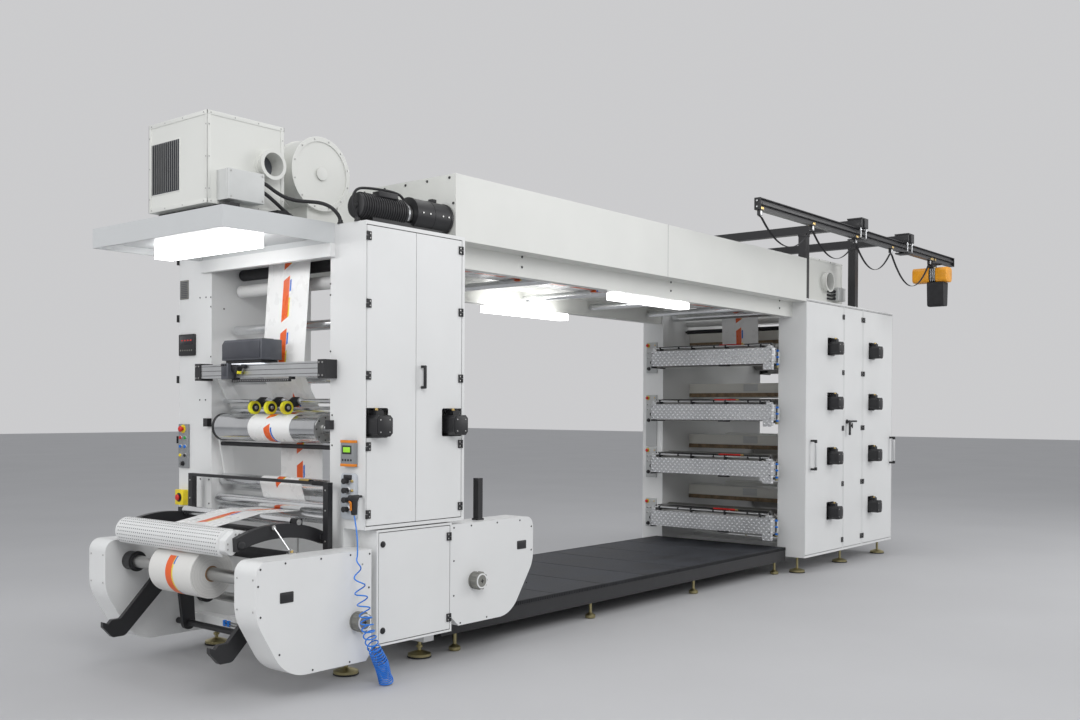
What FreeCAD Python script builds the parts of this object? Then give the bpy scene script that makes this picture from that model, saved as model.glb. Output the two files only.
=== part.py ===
import FreeCAD, Part
import math
import os

# A stack type flexographic printing press, in millimetres.
# The machine's own datum: X runs from the winder tower to the print stack and is 0 at the tower's
# front face, Y is 0 halfway between the outer faces of the side cabinets and negative on the side
# with the doors, and Z is 0 on the floor. Every shape is made there and moved to the row's origin,
# the underside of one levelling foot, when it is written.

V = FreeCAD.Vector

# Clearances
SEAT = 0.3
FILM = 1.0
FILM_GAP = 0.6

# Side cabinets and doors
HALF_WIDTH = 955.0
SHEET = 3.0
DOOR = 20.0
DOOR_WALL = 2.5
GAP = 5.0
RIM_DEPTH = 25.0
HINGE = 50.0
KNUCKLE = 6.0
LEAF = 24.0

# Winder tower
TOWER_LENGTH = 830.0
TOWER_TOP = 2692.0
WAIST = 893.0
NEAR_DEPTH = 315.0
FAR_DEPTH = 381.0
NEAR_FRAME = NEAR_DEPTH - HALF_WIDTH
FAR_FRAME = HALF_WIDTH - FAR_DEPTH
FRAME_PLATE = 40.0
FAR_BOX_DEPTH = 230.0
FAR_BOX = HALF_WIDTH - FAR_BOX_DEPTH
BASE_TOP = 190.0
BASE_BOTTOM = 110.0
BEAM = 90.0
ROOF = 42.0
TOWER_DOOR_SPLIT = 403.0
TOWER_DOOR_LOW = 918.0
TOWER_DOOR_HIGH = 2665.0
TOWER_RIM_LEFT = 4.0
TOWER_RIM_RIGHT = 24.0
LOW_DOOR_END = 110.0
TOWER_HINGES = (985.0, 1379.0, 1793.0, 2211.0, 2603.0)
CHEEK = 191.0
LOW_CABINET = (90.0, TOWER_LENGTH - LOW_DOOR_END, 200.0, 885.0)
LOW_CABINET_BACK = CHEEK - HALF_WIDTH
LOW_RIM = 13.0
LOW_HINGES = (290.0, 800.0)

# Winder covers, the D-shaped cheeks beside the rolls
CHEEK_FRONT = -757.0
CHEEK_BACK = 50.0
CHEEK_TOP = 780.0
CHEEK_LOW = 135.0
FAR_CHEEK_INSET = 9.0
FAR_CHEEK = FAR_FRAME - FAR_CHEEK_INSET
REAR_CHEEK_LENGTH = 800.0
REAR_CHEEK_START = TOWER_LENGTH - LOW_DOOR_END
REAR_CHEEK_END = REAR_CHEEK_START + REAR_CHEEK_LENGTH
REAR_CYLINDER = (REAR_CHEEK_START + 345, 95 - HALF_WIDTH, 870.0, 1146.0)
REAR_CHEEK_TOP = 870.0
REAR_CHEEK_LOW = 225.0
HUB_R = 48.0
HUB_REACH = 70.0

# Roll, shaft and the arms that lift it
ROLL_X = -590.0
ROLL_Z = 645.0
ROLL_R = 142.0
ROLL_FROM = -310.0
ROLL_TO = 120.0
SHAFT_R = 38.0
JOURNAL_R = 25.0
JOURNAL = 45.0
CHUCK_R = 58.0
CHUCK_LENGTH = 75.0
LIFT_X = -250.0
LIFT_Z = 220.0
LIFT_R = 20.0
LIFT_INSET = (99.0, 130.0)
LIFT_Y = (LOW_CABINET_BACK + LIFT_INSET[0], FAR_CHEEK - LIFT_INSET[1])
LIFT_PLATE = 30.0

# Lay-on arms with the perforated guard over the roll
ARM_INSET = (-20.0, 74.0)
ARM_Y = (NEAR_FRAME + ARM_INSET[0], FAR_FRAME - ARM_INSET[1])
ARM_PLATE = 40.0
ARM_PIVOT = (-75.0, 838.0)
ARM_PIVOT_R = 18.0
GUARD_X = -645.0
GUARD_Z = 842.0
GUARD_R = 84.0
GUARD_SHEET = 3.0
GUARD_INSET = 100.0
GUARD_FROM = ARM_Y[0] + GUARD_INSET
LAYON_X = -640.0
LAYON_Z = 840.0

# Draw drum and its press wheels
DRUM_X = 40.0
DRUM_Z = 1475.0
DRUM_R = 87.0
DRUM_INSET = 95.0
DRUM_FROM = NEAR_FRAME + DRUM_INSET
DRUM_TO = FAR_FRAME - DRUM_INSET
DRUM_SHAFT_R = 22.0
WHEEL_R = 42.0
WHEEL_WIDTH = 26.0
WHEEL_Y = (-210.0, -45.0, 120.0)
WHEEL_X = 12.0
WHEEL_SHAFT = (105.0, 1645.0, 15.0)

# Film route, from the print stack over the tower to the roll: x, z and radius of each roller
FILM_FROM = -310.0
FILM_TO = 110.0
STACK_ROLLER = (5842.0, 2594.0, 40.0)
TOP_ROLLER = (162.0, 2594.0, 40.0)
BACKING_ROLLER = (102.0, 1828.0, 38.0)
TURN_ROLLER = (166.0, 1580.0, 33.0)
BLACK_BAR = (198.0, 1396.0, 15.0)
LOOP_ROLLER = (180.0, 1080.0, 35.0)
FRONT_ROLLER = (88.0, 1126.0, 38.0)
NIP_UPPER = (50.0, 1000.0, 34.0)
NIP_LOWER = (64.0, 930.0, 34.0)
ARM_ROLLER = (-245.0, 940.0, 28.0)
RUBBER_ROLLER = (236.0, 2500.0, 38.0)
WHITE_ROLLER = (222.0, 2390.0, 42.0)
CHROME_ROLLER = (186.0, 2122.0, 32.0)
RAIL_ROLLER = (186.0, 1782.0, 26.0)
LOW_ROLLER = (172.0, 635.0, 40.0)
STACK_TOP_ROLLERS = ((6125.0, 2548.0, 38.0), (6125.0, 2457.0, 22.0))
BRIDGE_ROLLERS = (1350.0, 2360.0, 3370.0, 4380.0, 5390.0)
BRIDGE_ROLLER_R = 30.0

# Inspection camera on its rail
RAIL_INSET = 14.0
RAIL_FROM = NEAR_FRAME
RAIL_TO = FAR_FRAME - RAIL_INSET
RAIL_X = (-90.0, -30.0)
RAIL_Z = (1792.0, 1880.0)
RAIL_BLOCK = 62.0
CAMERA_FROM = -165.0
CAMERA_TO = 250.0
CAMERA_TOP = 2028.0

# Gate over the winder
GATE_X = (-100.0, -64.0)
GATE_POST = 44.0
GATE_NEAR = LOW_CABINET_BACK + 22.0
GATE_FAR = FAR_CHEEK + 125.0
GATE_TOP = 1165.0
GATE_BAR = 18.0
CROSS_BEAM = (-140.0, -60.0, 175.0, 255.0)

# Canopy, hood and what stands on the roof
CANOPY_FRONT = -780.0
CANOPY_INSET = 275.0
CANOPY_HALF = HALF_WIDTH - CANOPY_INSET
CANOPY_LOW = 2580.0
CANOPY_TOP = 2700.0
CANOPY_SKIN = 12.0
CANOPY_RECESS = 40.0
LAMP = 120.0
# Work lamps under the bridge: X range, side, and how far they hang below its floor
BRIDGE_LAMPS = ((2880.0, 3960.0, -1, 190.0), (2760.0, 3860.0, 1, 233.0))
HOOD = (-700.0, -180.0, -420.0, 170.0)
HOOD_HEIGHT = 520.0
CHANNEL = 50.0
DUCT_R = 72.0
DUCT_REACH = 60.0
BLOWER_X = 89.0
BLOWER_Z = 3037.0
BLOWER_R = 218.0
BLOWER_FROM = -440.0
BLOWER_TO = -90.0
ROOF_MOTOR_INSET = 105.0
ROOF_MOTOR_Y = ROOF_MOTOR_INSET - HALF_WIDTH
ROOF_MOTOR_GAP = 9.0

# Bridge, the drying tunnel between tower and stack
BRIDGE_LAP = 86.0
BRIDGE_START = TOWER_LENGTH - BRIDGE_LAP
BRIDGE_SKIN = 40.0
BRIDGE_LOW = 2669.0
BRIDGE_TOP = 3087.0
BRIDGE_BEAM_LOW = 2522.0
BRIDGE_BEAM = 80.0
BRIDGE_BEAM_INSET = 150.0
BRIDGE_FLOOR = 20.0

# Print stack
STACK_START = 5669.0
STACK_END = 7833.0
STACK_TOP = 2699.0
STACK_LOW = 158.0
STACK_NEAR_DEPTH = 255.0
STACK_FAR_DEPTH = 215.0
STACK_BACK = STACK_NEAR_DEPTH - HALF_WIDTH
STACK_FAR = HALF_WIDTH - STACK_FAR_DEPTH
STACK_PLATE = 40.0
STACK_TIE = 80.0
STACK_TIES = (5989.0, 6330.0, 7100.0, 7453.0)
STACK_DOORS = ((5678.0, 6532.0), (6558.0, 7007.0), (7037.0, 7824.0))
STACK_DOOR_LOW = 185.0
STACK_DOOR_HIGH = 2672.0
STACK_HINGE_Z = (267.0, 847.0, 1422.0, 1997.0, 2572.0)
FAN_INSET = 315.0
FAN_BOX = (6330.0, 7180.0, FAN_INSET - HALF_WIDTH, -60.0, 3210.0)

# Print decks
DECKS = 4
DECK_PITCH = 555.0
DECK_TOP_Z = 2120.0
DECK_REACH = 269.0
GUARD_HALF = 78.0
GUARD_RISE = 17.0
GUARD_PLATE = 40.0
DECK_NEAR = STACK_BACK - 28.0
DECK_FAR = STACK_FAR - 70.0
GUARD_TAB = 60.0
GUARD_TAB_WIDTH = 95.0
BRACKET = 20.0
BRACKET_LAP = 16.0
ANILOX = (110.0, -15.0, 55.0)
PLATE_CYLINDER = (205.0, 78.0, 75.0)
IMPRESSION = (385.0, 60.0, 95.0)
HOOD_BAR = (800.0, 1100.0, 180.0, 325.0)

# Drive motors
TOWER_MOTORS = ((20.0, 1437.0), (TOWER_LENGTH - 170.0, 1437.0))
MOTOR = 125.0
MOTOR_REACH = 75.0
STACK_MOTORS = (6185.0, 7185.0)
STACK_MOTOR = 130.0
STACK_MOTOR_REACH = 105.0
STACK_MOTOR_Z = 50.0
NOTCH_NEAR = 8.0
NOTCH_FREE = 32.0
NOTCH_TOP = 42.0
FLANGE = 20.0
PLUG = 28.0

# Walkway between tower and stack
DECK_FROM = TOWER_LENGTH
DECK_TO = 5655.0
DECK_INSET = 199.0
DECK_EDGE = HALF_WIDTH - DECK_INSET
DECK_LEVEL = 250.0
DECK_SHEET = 30.0
SKIRT_LOW = 120.0
SKIRT = 10.0
DECK_TUBE = 60.0

# Hoist gantry
GANTRY_X = (5860.0, 7040.0)
GANTRY_POST = 80.0
GANTRY_INSET = 125.0
GANTRY_Y = HALF_WIDTH - GANTRY_INSET
GANTRY_CLAMP = 150.0
GANTRY_CLAMP_PLATE = 14.0
GANTRY_BEAM_LOW = 3355.0
RAIL_OUT = 435.0
RAIL_Y = -RAIL_OUT - HALF_WIDTH
RAIL_REACH = 90.0
HOIST_RAIL = (3870.0, 8470.0)
HOIST_RAIL_HEIGHT = 100.0
HOIST_FLANGE = 28.0
HOIST_X = 7850.0
CLIPS = (3906.0, 4870.0, 5800.0, 6680.0, HOIST_X - 86)
CLIP_DROP = 42.0

# Levelling feet
FOOT_R = 75.0
FOOT_DISC = 24.0
FOOT_STEM = 12.0
FOOT_X = 95.0
FOOT_X2 = TOWER_LENGTH - 120.0
FOOT_Y = NEAR_FRAME - FRAME_PLATE
FOOT_Y2 = FAR_FRAME + 76.0
STACK_FEET = (5760.0, 6750.0, 7740.0)
STACK_FOOT_Y = HALF_WIDTH - GANTRY_INSET
WALK_FEET = (1000.0, 2500.0, 4000.0, 5500.0)

# Panels on the tower's front faces: depth, y range and z range
FACE_PANELS = (
    (4.0, HALF_WIDTH - 113, HALF_WIDTH - 12, 2340.0, 2470.0), (16.0, HALF_WIDTH - 200, HALF_WIDTH - 12, 1954.0, 2100.0),
    (14.0, HALF_WIDTH - 128, HALF_WIDTH - 12, 1189.0, 1488.0), (62.0, HALF_WIDTH - 110, HALF_WIDTH - 12, 936.0, 1040.0),
    (38.0, 67 - HALF_WIDTH, 180 - HALF_WIDTH, 1261.0, 1415.0),
)
REGULATOR = (20.0, 63 - HALF_WIDTH, 191 - HALF_WIDTH, 951.0, 1221.0)

# Control plates beside the decks: how far they reach below and above each deck
DECK_PANELS = ((123.0, 207.0), (356.0, 197.0), (134.0, 188.0), (109.0, 195.0))

# Air hose: its thin lead from the gun, its coil and its tail to the bulkhead fitting
HOSE_R = 4.0
HOSE_GAP = 1.2
COIL_R = 37.0
HOSE_Y = -HALF_WIDTH
HOSE_LEAD = ((-62, HOSE_Y + 24, 984), (-67, HOSE_Y + 3, 925), (-78, HOSE_Y - 20, 868), (-88, HOSE_Y - 36, 812),
             (-96, HOSE_Y - 46, 757))
HOSE_COIL = ((-97, HOSE_Y - 48, 760), (-99, HOSE_Y - 53, 610), (-97, HOSE_Y - 111, 445), (-80, HOSE_Y - 125, 312),
             (-10, HOSE_Y - 109, 200), (52, HOSE_Y - 99, 108), (76, HOSE_Y - 95, 13))
HOSE_TAIL = ((80, HOSE_Y - 96, 16), (128, HOSE_Y - 85, 34), (141, HOSE_Y - 45, 66), (128, HOSE_Y - 5, 98),
             (115, HOSE_Y + 16, 134), (112, HOSE_Y + 20, 171.2))
HOSE_FITTING = (112.0, HOSE_Y + 20, 172.0, 9.0)

# Hoist cable: between two clips it sags by the drop of its span
CABLE_R = 5.0
CABLE_DROPS = (198.0, 196.0, 208.0, 284.0)
CABLE_STEPS = (0.0, 0.05, 0.13, 0.25, 0.38, 0.51, 0.64, 0.77, 0.885, 0.955, 1.0)
CLIP_HALF = 22.0

ORIGIN = V(FOOT_X, FOOT_Y, 0)


def box(x0, x1, y0, y1, z0, z1):
    return Part.makeBox(x1 - x0, y1 - y0, z1 - z0, V(x0, y0, z0))


def rod_y(x, z, radius, y0, y1):
    return Part.makeCylinder(radius, y1 - y0, V(x, y0, z), V(0, 1, 0))


def rod_x(y, z, radius, x0, x1):
    return Part.makeCylinder(radius, x1 - x0, V(x0, y, z), V(1, 0, 0))


def rod_z(x, y, radius, z0, z1):
    return Part.makeCylinder(radius, z1 - z0, V(x, y, z0), V(0, 0, 1))


def rounded(points, place):
    """A closed wire through corners (u, v, radius), each with a tangent arc; place makes a point."""
    arcs = {}
    starts = []
    ends = []
    count = len(points)
    for i, (u, v, radius) in enumerate(points):
        before = points[i - 1]
        after = points[(i + 1) % count]
        here = V(u, v, 0)
        back = (V(before[0], before[1], 0) - here).normalize()
        ahead = (V(after[0], after[1], 0) - here).normalize()
        half = back.getAngle(ahead) / 2
        run = radius / math.tan(half) if radius else 0.0
        starts.append(here + back * run)
        ends.append(here + ahead * run)
        if radius:
            middle = here + (back + ahead).normalize() * (radius / math.sin(half) - radius)
            arcs[i] = Part.Arc(*[place(p.x, p.y) for p in (starts[i], middle, ends[i])]).toShape()
    chain = []
    for i in range(count):
        if i in arcs:
            chain.append(arcs[i])
        p = ends[i]
        q = starts[(i + 1) % count]
        if p.distanceToPoint(q) > 1e-6:
            chain.append(Part.LineSegment(place(p.x, p.y), place(q.x, q.y)).toShape())
    return Part.Wire(chain)


def plate_y(points, y0, y1):
    """A plate with its outline in X and Z, from y0 to y1."""
    wire = rounded(points, lambda u, v: V(u, y0, v))
    return Part.Face(wire).extrude(V(0, y1 - y0, 0))


def plate_x(points, x0, x1):
    """A plate with its outline in Y and Z, from x0 to x1."""
    wire = rounded(points, lambda u, v: V(x0, u, v))
    return Part.Face(wire).extrude(V(x1 - x0, 0, 0))


def corners(x0, x1, z0, z1, radius=0.0):
    return [(x0, z0, radius), (x1, z0, radius), (x1, z1, radius), (x0, z1, radius)]


def fuse_all(shapes):
    whole = shapes[0]
    for other in shapes[1:]:
        whole = whole.fuse(other)
    return whole.removeSplitter()


def route_tube(name, points, radius):
    """A tube along straight runs, joined by tangent arcs as large as the runs allow."""
    at = [V(*p) for p in points]
    edges = []
    radii = []
    last = at[0]
    for i in range(1, len(at) - 1):
        back = at[i - 1] - at[i]
        ahead = at[i + 1] - at[i]
        run = 0.45 * min(back.Length, ahead.Length)
        back.normalize()
        ahead.normalize()
        half = back.getAngle(ahead) / 2
        bend = run * math.tan(half)
        start = at[i] + back * run
        end = at[i] + ahead * run
        middle = at[i] + (back + ahead).normalize() * (run / math.cos(half) - bend)
        edges.append(Part.LineSegment(last, start).toShape())
        edges.append(Part.Arc(start, middle, end).toShape())
        radii.append(round(bend))
        last = end
    edges.append(Part.LineSegment(last, at[-1]).toShape())
    path = Part.Wire(edges)
    profile = Part.Wire(Part.Circle(at[0], at[1] - at[0], radius).toShape())
    tube = path.makePipeShell([profile], True, False)
    share = tube.Volume / (math.pi * radius ** 2 * path.Length)
    print(name, "bend radii", radii, "length", round(path.Length), "volume share", round(share, 4))
    return tube


def spigot(x, z, y, reach, radius=DUCT_R, wall=3.5, depth=50.0):
    """A round duct outlet on a face at y, and the bore that runs into the box behind it."""
    return rod_y(x, z, radius, y - reach, y), rod_y(x, z, radius - wall, y - reach - 1, y + depth)


def boundary(route, side):
    """One long edge of the film, on its left (+1) or right (-1), as lines and arcs round the rollers.

    route holds (x, z, radius, side of the roller); a radius of 0 is a free end of the film.
    """
    reach = []
    for x, z, radius, left in route:
        near = radius + FILM_GAP
        reach.append(left * (near if left == side else near + FILM) if radius else -side * FILM / 2)
    runs = []
    for i in range(len(route) - 1):
        x0, z0 = route[i][:2]
        x1, z1 = route[i + 1][:2]
        span = math.hypot(x1 - x0, z1 - z0)
        angle = math.atan2(z1 - z0, x1 - x0) - math.asin((reach[i + 1] - reach[i]) / span)
        nx, nz = -math.sin(angle), math.cos(angle)
        runs.append((angle, (x0 - nx * reach[i], z0 - nz * reach[i]),
                     (x1 - nx * reach[i + 1], z1 - nz * reach[i + 1])))
    pieces = []
    for i, (angle, start, end) in enumerate(runs):
        if i:
            x, z = route[i][:2]
            before = runs[i - 1][0]
            turn = (angle - before) % (2 * math.pi)
            if reach[i] < 0:
                turn -= 2 * math.pi
            middle = before + turn / 2
            top = (x + math.sin(middle) * reach[i], z - math.cos(middle) * reach[i])
            pieces.append((runs[i - 1][2], top, start))
        pieces.append((start, end))
    return pieces


def film(route, y0, y1):
    """The film as a closed solid between its two boundaries, from y0 to y1."""
    edges = []
    ends = []
    for side in (-1, 1):
        pieces = boundary(route, side)
        ends.append((pieces[0][0], pieces[-1][-1]))
        for piece in pieces:
            at = [V(x, y0, z) for x, z in piece]
            edges.append((Part.Arc(*at) if len(at) == 3 else Part.LineSegment(*at)).toShape())
    for right, left in zip(ends[0], ends[1]):
        edges.append(Part.LineSegment(V(right[0], y0, right[1]), V(left[0], y0, left[1])).toShape())
    wire = Part.Wire(Part.sortEdges(edges)[0])
    return Part.Face(wire).extrude(V(0, y1 - y0, 0))


def open_cabinet(x0, x1, y0, y1, z0, z1, doorway):
    """A sheet metal cabinet whose front, at y0, is open over the doorway (x, x, z, z)."""
    shell = box(x0, x1, y0, y1, z0, z1)
    inside = box(x0 + SHEET, x1 - SHEET, y0 + SHEET, y1 - SHEET, z0 + SHEET, z1 - SHEET)
    return shell.cut(inside).cut(box(doorway[0], doorway[1], y0 - 1, y0 + SHEET + 1, doorway[2], doorway[3]))


def door_pan(x0, x1, z0, z1, cutouts=()):
    """A folded sheet door, flush with the cabinet's face, open to the inside."""
    front = -HALF_WIDTH
    pan = box(x0, x1, front, front + DOOR, z0, z1)
    pan = pan.cut(box(x0 + DOOR_WALL, x1 - DOOR_WALL, front + DOOR_WALL, front + DOOR + 1,
                      z0 + DOOR_WALL, z1 - DOOR_WALL))
    for outline in cutouts:
        pan = pan.cut(plate_y(outline, front - 1, front + DOOR + 1))
    return pan


def hinge(axis_x, z, toward):
    """One hinge in two halves about a pin line in front of the door: (door half, frame half).

    toward is +1 where the door lies on the +X side of the pin and -1 where it lies on the other.
    """
    axis_y = -HALF_WIDTH - KNUCKLE
    low = z - HINGE / 2
    high = z + HINGE / 2
    x0, x1 = sorted((axis_x, axis_x + toward * (KNUCKLE + LEAF)))
    door_half = rod_z(axis_x, axis_y, KNUCKLE, z + SEAT, high)
    door_half = door_half.fuse(box(x0, x1, axis_y, -HALF_WIDTH, z + SEAT, high))
    x0, x1 = sorted((axis_x - toward * KNUCKLE, axis_x))
    frame_half = rod_z(axis_x, axis_y, KNUCKLE, low, z)
    frame_half = frame_half.fuse(box(x0, x1, axis_y, -HALF_WIDTH, low, z))
    return door_half, frame_half


def pull_bar(x, half, front, reach, z0, z1, post):
    """A bar handle in front of a door, held by a post at each end."""
    bar = box(x - half, x + half, front - reach - 2 * half, front - reach, z0, z1)
    for z in (z0, z1 - post):
        bar = bar.fuse(box(x - half, x + half, front - reach, front, z, z + post))
    return bar


def motor(x, z, size, back, front):
    """A servo motor across the cabinet: square flange, body with cut corners, connector on top."""
    cut = size * 0.16
    outline = [
        (x + cut, z, 0), (x + size - cut, z, 0), (x + size, z + cut, 0), (x + size, z + size - cut, 0),
        (x + size - cut, z + size, 0), (x + cut, z + size, 0), (x, z + size - cut, 0), (x, z + cut, 0),
    ]
    body = plate_y(outline, front, back - FLANGE)
    flange = box(x, x + size, back - FLANGE, back, z, z + size)
    plug = box(x + size * 0.3, x + size * 0.75, front + 45, front + 105, z + size, z + size + PLUG)
    return fuse_all([body, flange, plug])


def make_tower_frames():
    near = box(0, TOWER_LENGTH, NEAR_FRAME - FRAME_PLATE, NEAR_FRAME, WAIST, TOWER_TOP - SHEET)
    near_low = box(0, TOWER_LENGTH, LOW_CABINET_BACK, NEAR_FRAME, BASE_TOP, WAIST)
    far = box(0, TOWER_LENGTH, FAR_FRAME, FAR_BOX, WAIST, TOWER_TOP)
    far_low = box(CHEEK_BACK, REAR_CHEEK_START, FAR_FRAME, FAR_BOX, BASE_TOP, WAIST)
    return {
        "tower_frame_near": [fuse_all([near, near_low])],
        "tower_frame_far": [fuse_all([far, far_low])],
    }


def make_tower_cabinet():
    back = NEAR_FRAME - FRAME_PLATE
    doorway = (TOWER_RIM_LEFT, TOWER_LENGTH - TOWER_RIM_RIGHT, TOWER_DOOR_LOW - GAP, TOWER_DOOR_HIGH + GAP)
    cabinet = open_cabinet(0, TOWER_LENGTH, -HALF_WIDTH, back, WAIST, TOWER_TOP, doorway)
    left_axis = TOWER_RIM_LEFT + GAP / 2
    right_axis = TOWER_LENGTH - TOWER_RIM_RIGHT - GAP / 2
    left_x = TOWER_RIM_LEFT + GAP
    right_x = TOWER_LENGTH - TOWER_RIM_RIGHT - GAP
    (mx0, mz0), (mx1, mz1) = TOWER_MOTORS
    left_notch = corners(left_x - 30, mx0 + MOTOR + NOTCH_FREE, mz0 - NOTCH_NEAR, mz0 + MOTOR + NOTCH_TOP, 14)
    right_notch = corners(mx1 - NOTCH_FREE, right_x + 30, mz1 - NOTCH_NEAR, mz1 + MOTOR + NOTCH_TOP, 14)
    left = [door_pan(left_x, TOWER_DOOR_SPLIT - GAP / 2, TOWER_DOOR_LOW, TOWER_DOOR_HIGH, [left_notch])]
    right = [door_pan(TOWER_DOOR_SPLIT + GAP / 2, right_x, TOWER_DOOR_LOW, TOWER_DOOR_HIGH, [right_notch])]
    frame_parts = [cabinet]
    for axis, toward, door in ((left_axis, 1, left), (right_axis, -1, right)):
        for z in TOWER_HINGES:
            door_half, frame_half = hinge(axis, z, toward)
            door.append(door_half)
            frame_parts.append(frame_half)
    far = box(0, TOWER_LENGTH, FAR_BOX, HALF_WIDTH, WAIST, TOWER_TOP)
    x0, x1, z0, z1 = LOW_CABINET
    far_low = box(x0, x1, FAR_BOX, FAR_BOX + CHEEK, z0, z1)
    return {
        "tower_cabinet_near": [fuse_all(frame_parts)],
        "tower_door_left": [fuse_all(left)],
        "tower_door_right": [fuse_all(right)],
        "tower_pull": [pull_bar(451, 8, -HALF_WIDTH, 22, 1724, 1864, 14)],
        "tower_cabinet_far": [far, far_low],
    }


def make_lower_cabinet():
    x0, x1, z0, z1 = LOW_CABINET
    doorway = (x0 + LOW_RIM, x1 - LOW_RIM, z0 + LOW_RIM, z1 - LOW_RIM)
    cabinet = [open_cabinet(x0, x1, -HALF_WIDTH, LOW_CABINET_BACK, z0, z1, doorway)]
    door = [door_pan(doorway[0] + GAP, doorway[1] - GAP, doorway[2] + GAP, doorway[3] - GAP)]
    for z in LOW_HINGES:
        door_half, frame_half = hinge(doorway[1] - GAP / 2, z, -1)
        door.append(door_half)
        cabinet.append(frame_half)
        door.append(rod_y(x0 + 48, z, 14, -HALF_WIDTH - 8, -HALF_WIDTH))
    return {"lower_cabinet_near": [fuse_all(cabinet)], "lower_door": [fuse_all(door)]}


def front_cheek(y0, y1):
    points = [
        (CHEEK_BACK, CHEEK_TOP, 0), (CHEEK_FRONT, CHEEK_TOP, 70), (CHEEK_FRONT, 470, 260),
        (-560, CHEEK_LOW, 240), (CHEEK_BACK - 40, CHEEK_LOW, 0), (CHEEK_BACK, CHEEK_LOW + 45, 0),
    ]
    return plate_y(points, y0, y1)


def rear_cheek(y0, y1):
    points = [
        (REAR_CHEEK_START, REAR_CHEEK_TOP, 0), (REAR_CHEEK_START, REAR_CHEEK_LOW + 60, 0),
        (REAR_CHEEK_START + 65, REAR_CHEEK_LOW, 0), (REAR_CHEEK_END - 230, REAR_CHEEK_LOW, 220),
        (REAR_CHEEK_END, 560, 200), (REAR_CHEEK_END, REAR_CHEEK_TOP, 70),
    ]
    return plate_y(points, y0, y1)


def make_cheeks():
    near = (-HALF_WIDTH, LOW_CABINET_BACK)
    far = (FAR_CHEEK, FAR_CHEEK + CHEEK)
    hubs = []
    for x, z in ((-60.0, 377.0), (REAR_CHEEK_START + 210, 499.0)):
        hubs.append(rod_y(x, z, HUB_R, -HALF_WIDTH - HUB_REACH, -HALF_WIDTH))
    return {
        "cheeks_near": [front_cheek(*near).fuse(hubs[0]), rear_cheek(*near).fuse(hubs[1])],
        "cheeks_far": [front_cheek(*far), rear_cheek(*far)],
    }


def levelling_foot(x, y, top, radius=FOOT_R):
    profile = [
        V(x, y, 0), V(x + radius - 6, y, 0), V(x + radius, y, 6), V(x + radius, y, FOOT_DISC),
        V(x + radius * 0.4, y, FOOT_DISC + 16), V(x + FOOT_STEM, y, FOOT_DISC + 20),
        V(x + FOOT_STEM, y, top), V(x, y, top), V(x, y, 0),
    ]
    return Part.Face(Part.makePolygon(profile)).revolve(V(x, y, 0), V(0, 0, 1), 360)


def make_base():
    beams = []
    for x in (FOOT_X, FOOT_X2):
        beams.append(box(x - BEAM / 2, x + BEAM / 2, LOW_CABINET_BACK, FAR_BOX, BASE_BOTTOM, BASE_TOP))
    x0, x1, z0, z1 = CROSS_BEAM
    beams.append(box(x0, x1, LOW_CABINET_BACK, FAR_CHEEK, z0, z1))
    feet = []
    for x in (FOOT_X, FOOT_X2):
        for y in (FOOT_Y, FOOT_Y2):
            feet.append(levelling_foot(x, y, BASE_BOTTOM))
    for x in STACK_FEET:
        for y in (-STACK_FOOT_Y, STACK_FOOT_Y):
            feet.append(levelling_foot(x, y, STACK_LOW))
    for x in WALK_FEET:
        for y in (-1, 1):
            feet.append(levelling_foot(x, y * (DECK_EDGE - SKIRT - DECK_TUBE / 2), SKIRT_LOW, 40))
    return {"base_beams": beams, "levelling_feet": feet}


def make_roll():
    near = LOW_CABINET_BACK
    far = FAR_CHEEK
    inner = (near + CHUCK_LENGTH, far - CHUCK_LENGTH)
    shaft = rod_y(ROLL_X, ROLL_Z, SHAFT_R, inner[0] + SEAT, inner[1] - SEAT)
    shaft = shaft.fuse(rod_y(ROLL_X, ROLL_Z, JOURNAL_R, inner[0] - JOURNAL, inner[1] + JOURNAL))
    bore = rod_y(ROLL_X, ROLL_Z, JOURNAL_R + SEAT, inner[0] - JOURNAL - SEAT, inner[1] + JOURNAL + SEAT)
    chucks = [
        rod_y(ROLL_X, ROLL_Z, CHUCK_R, near, inner[0]).cut(bore),
        rod_y(ROLL_X, ROLL_Z, CHUCK_R, inner[1], far).cut(bore),
    ]
    roll = rod_y(ROLL_X, ROLL_Z, ROLL_R, ROLL_FROM, ROLL_TO)
    roll = roll.cut(rod_y(ROLL_X, ROLL_Z, SHAFT_R + SEAT, ROLL_FROM - 1, ROLL_TO + 1))
    return {"winding_shaft": [shaft.removeSplitter()], "paper_roll": [roll], "shaft_chucks": chucks}


def make_lift_arms():
    outline = [
        (LIFT_X - 42, LIFT_Z - 42, 40), (LIFT_X + 42, LIFT_Z - 42, 40), (LIFT_X + 20, 560, 60),
        (-300, 690, 30), (-370, 690, 30), (-728, 314, 20), (-785, 314, 4),
        (-808, 290, 4), (-842, 308, 4), (-842, 275, 10), (-780, 207, 20), (-700, 207, 40), (-340, 560, 20),
    ]
    pieces = []
    for y in LIFT_Y:
        arm = plate_y(outline, y, y + LIFT_PLATE)
        pieces.append(arm.cut(rod_y(LIFT_X, LIFT_Z, LIFT_R + SEAT, y - 1, y + LIFT_PLATE + 1)))
    pieces.append(rod_y(LIFT_X, LIFT_Z, LIFT_R, LOW_CABINET_BACK + SEAT, FAR_CHEEK - SEAT))
    return {"lift_arms": pieces}


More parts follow.
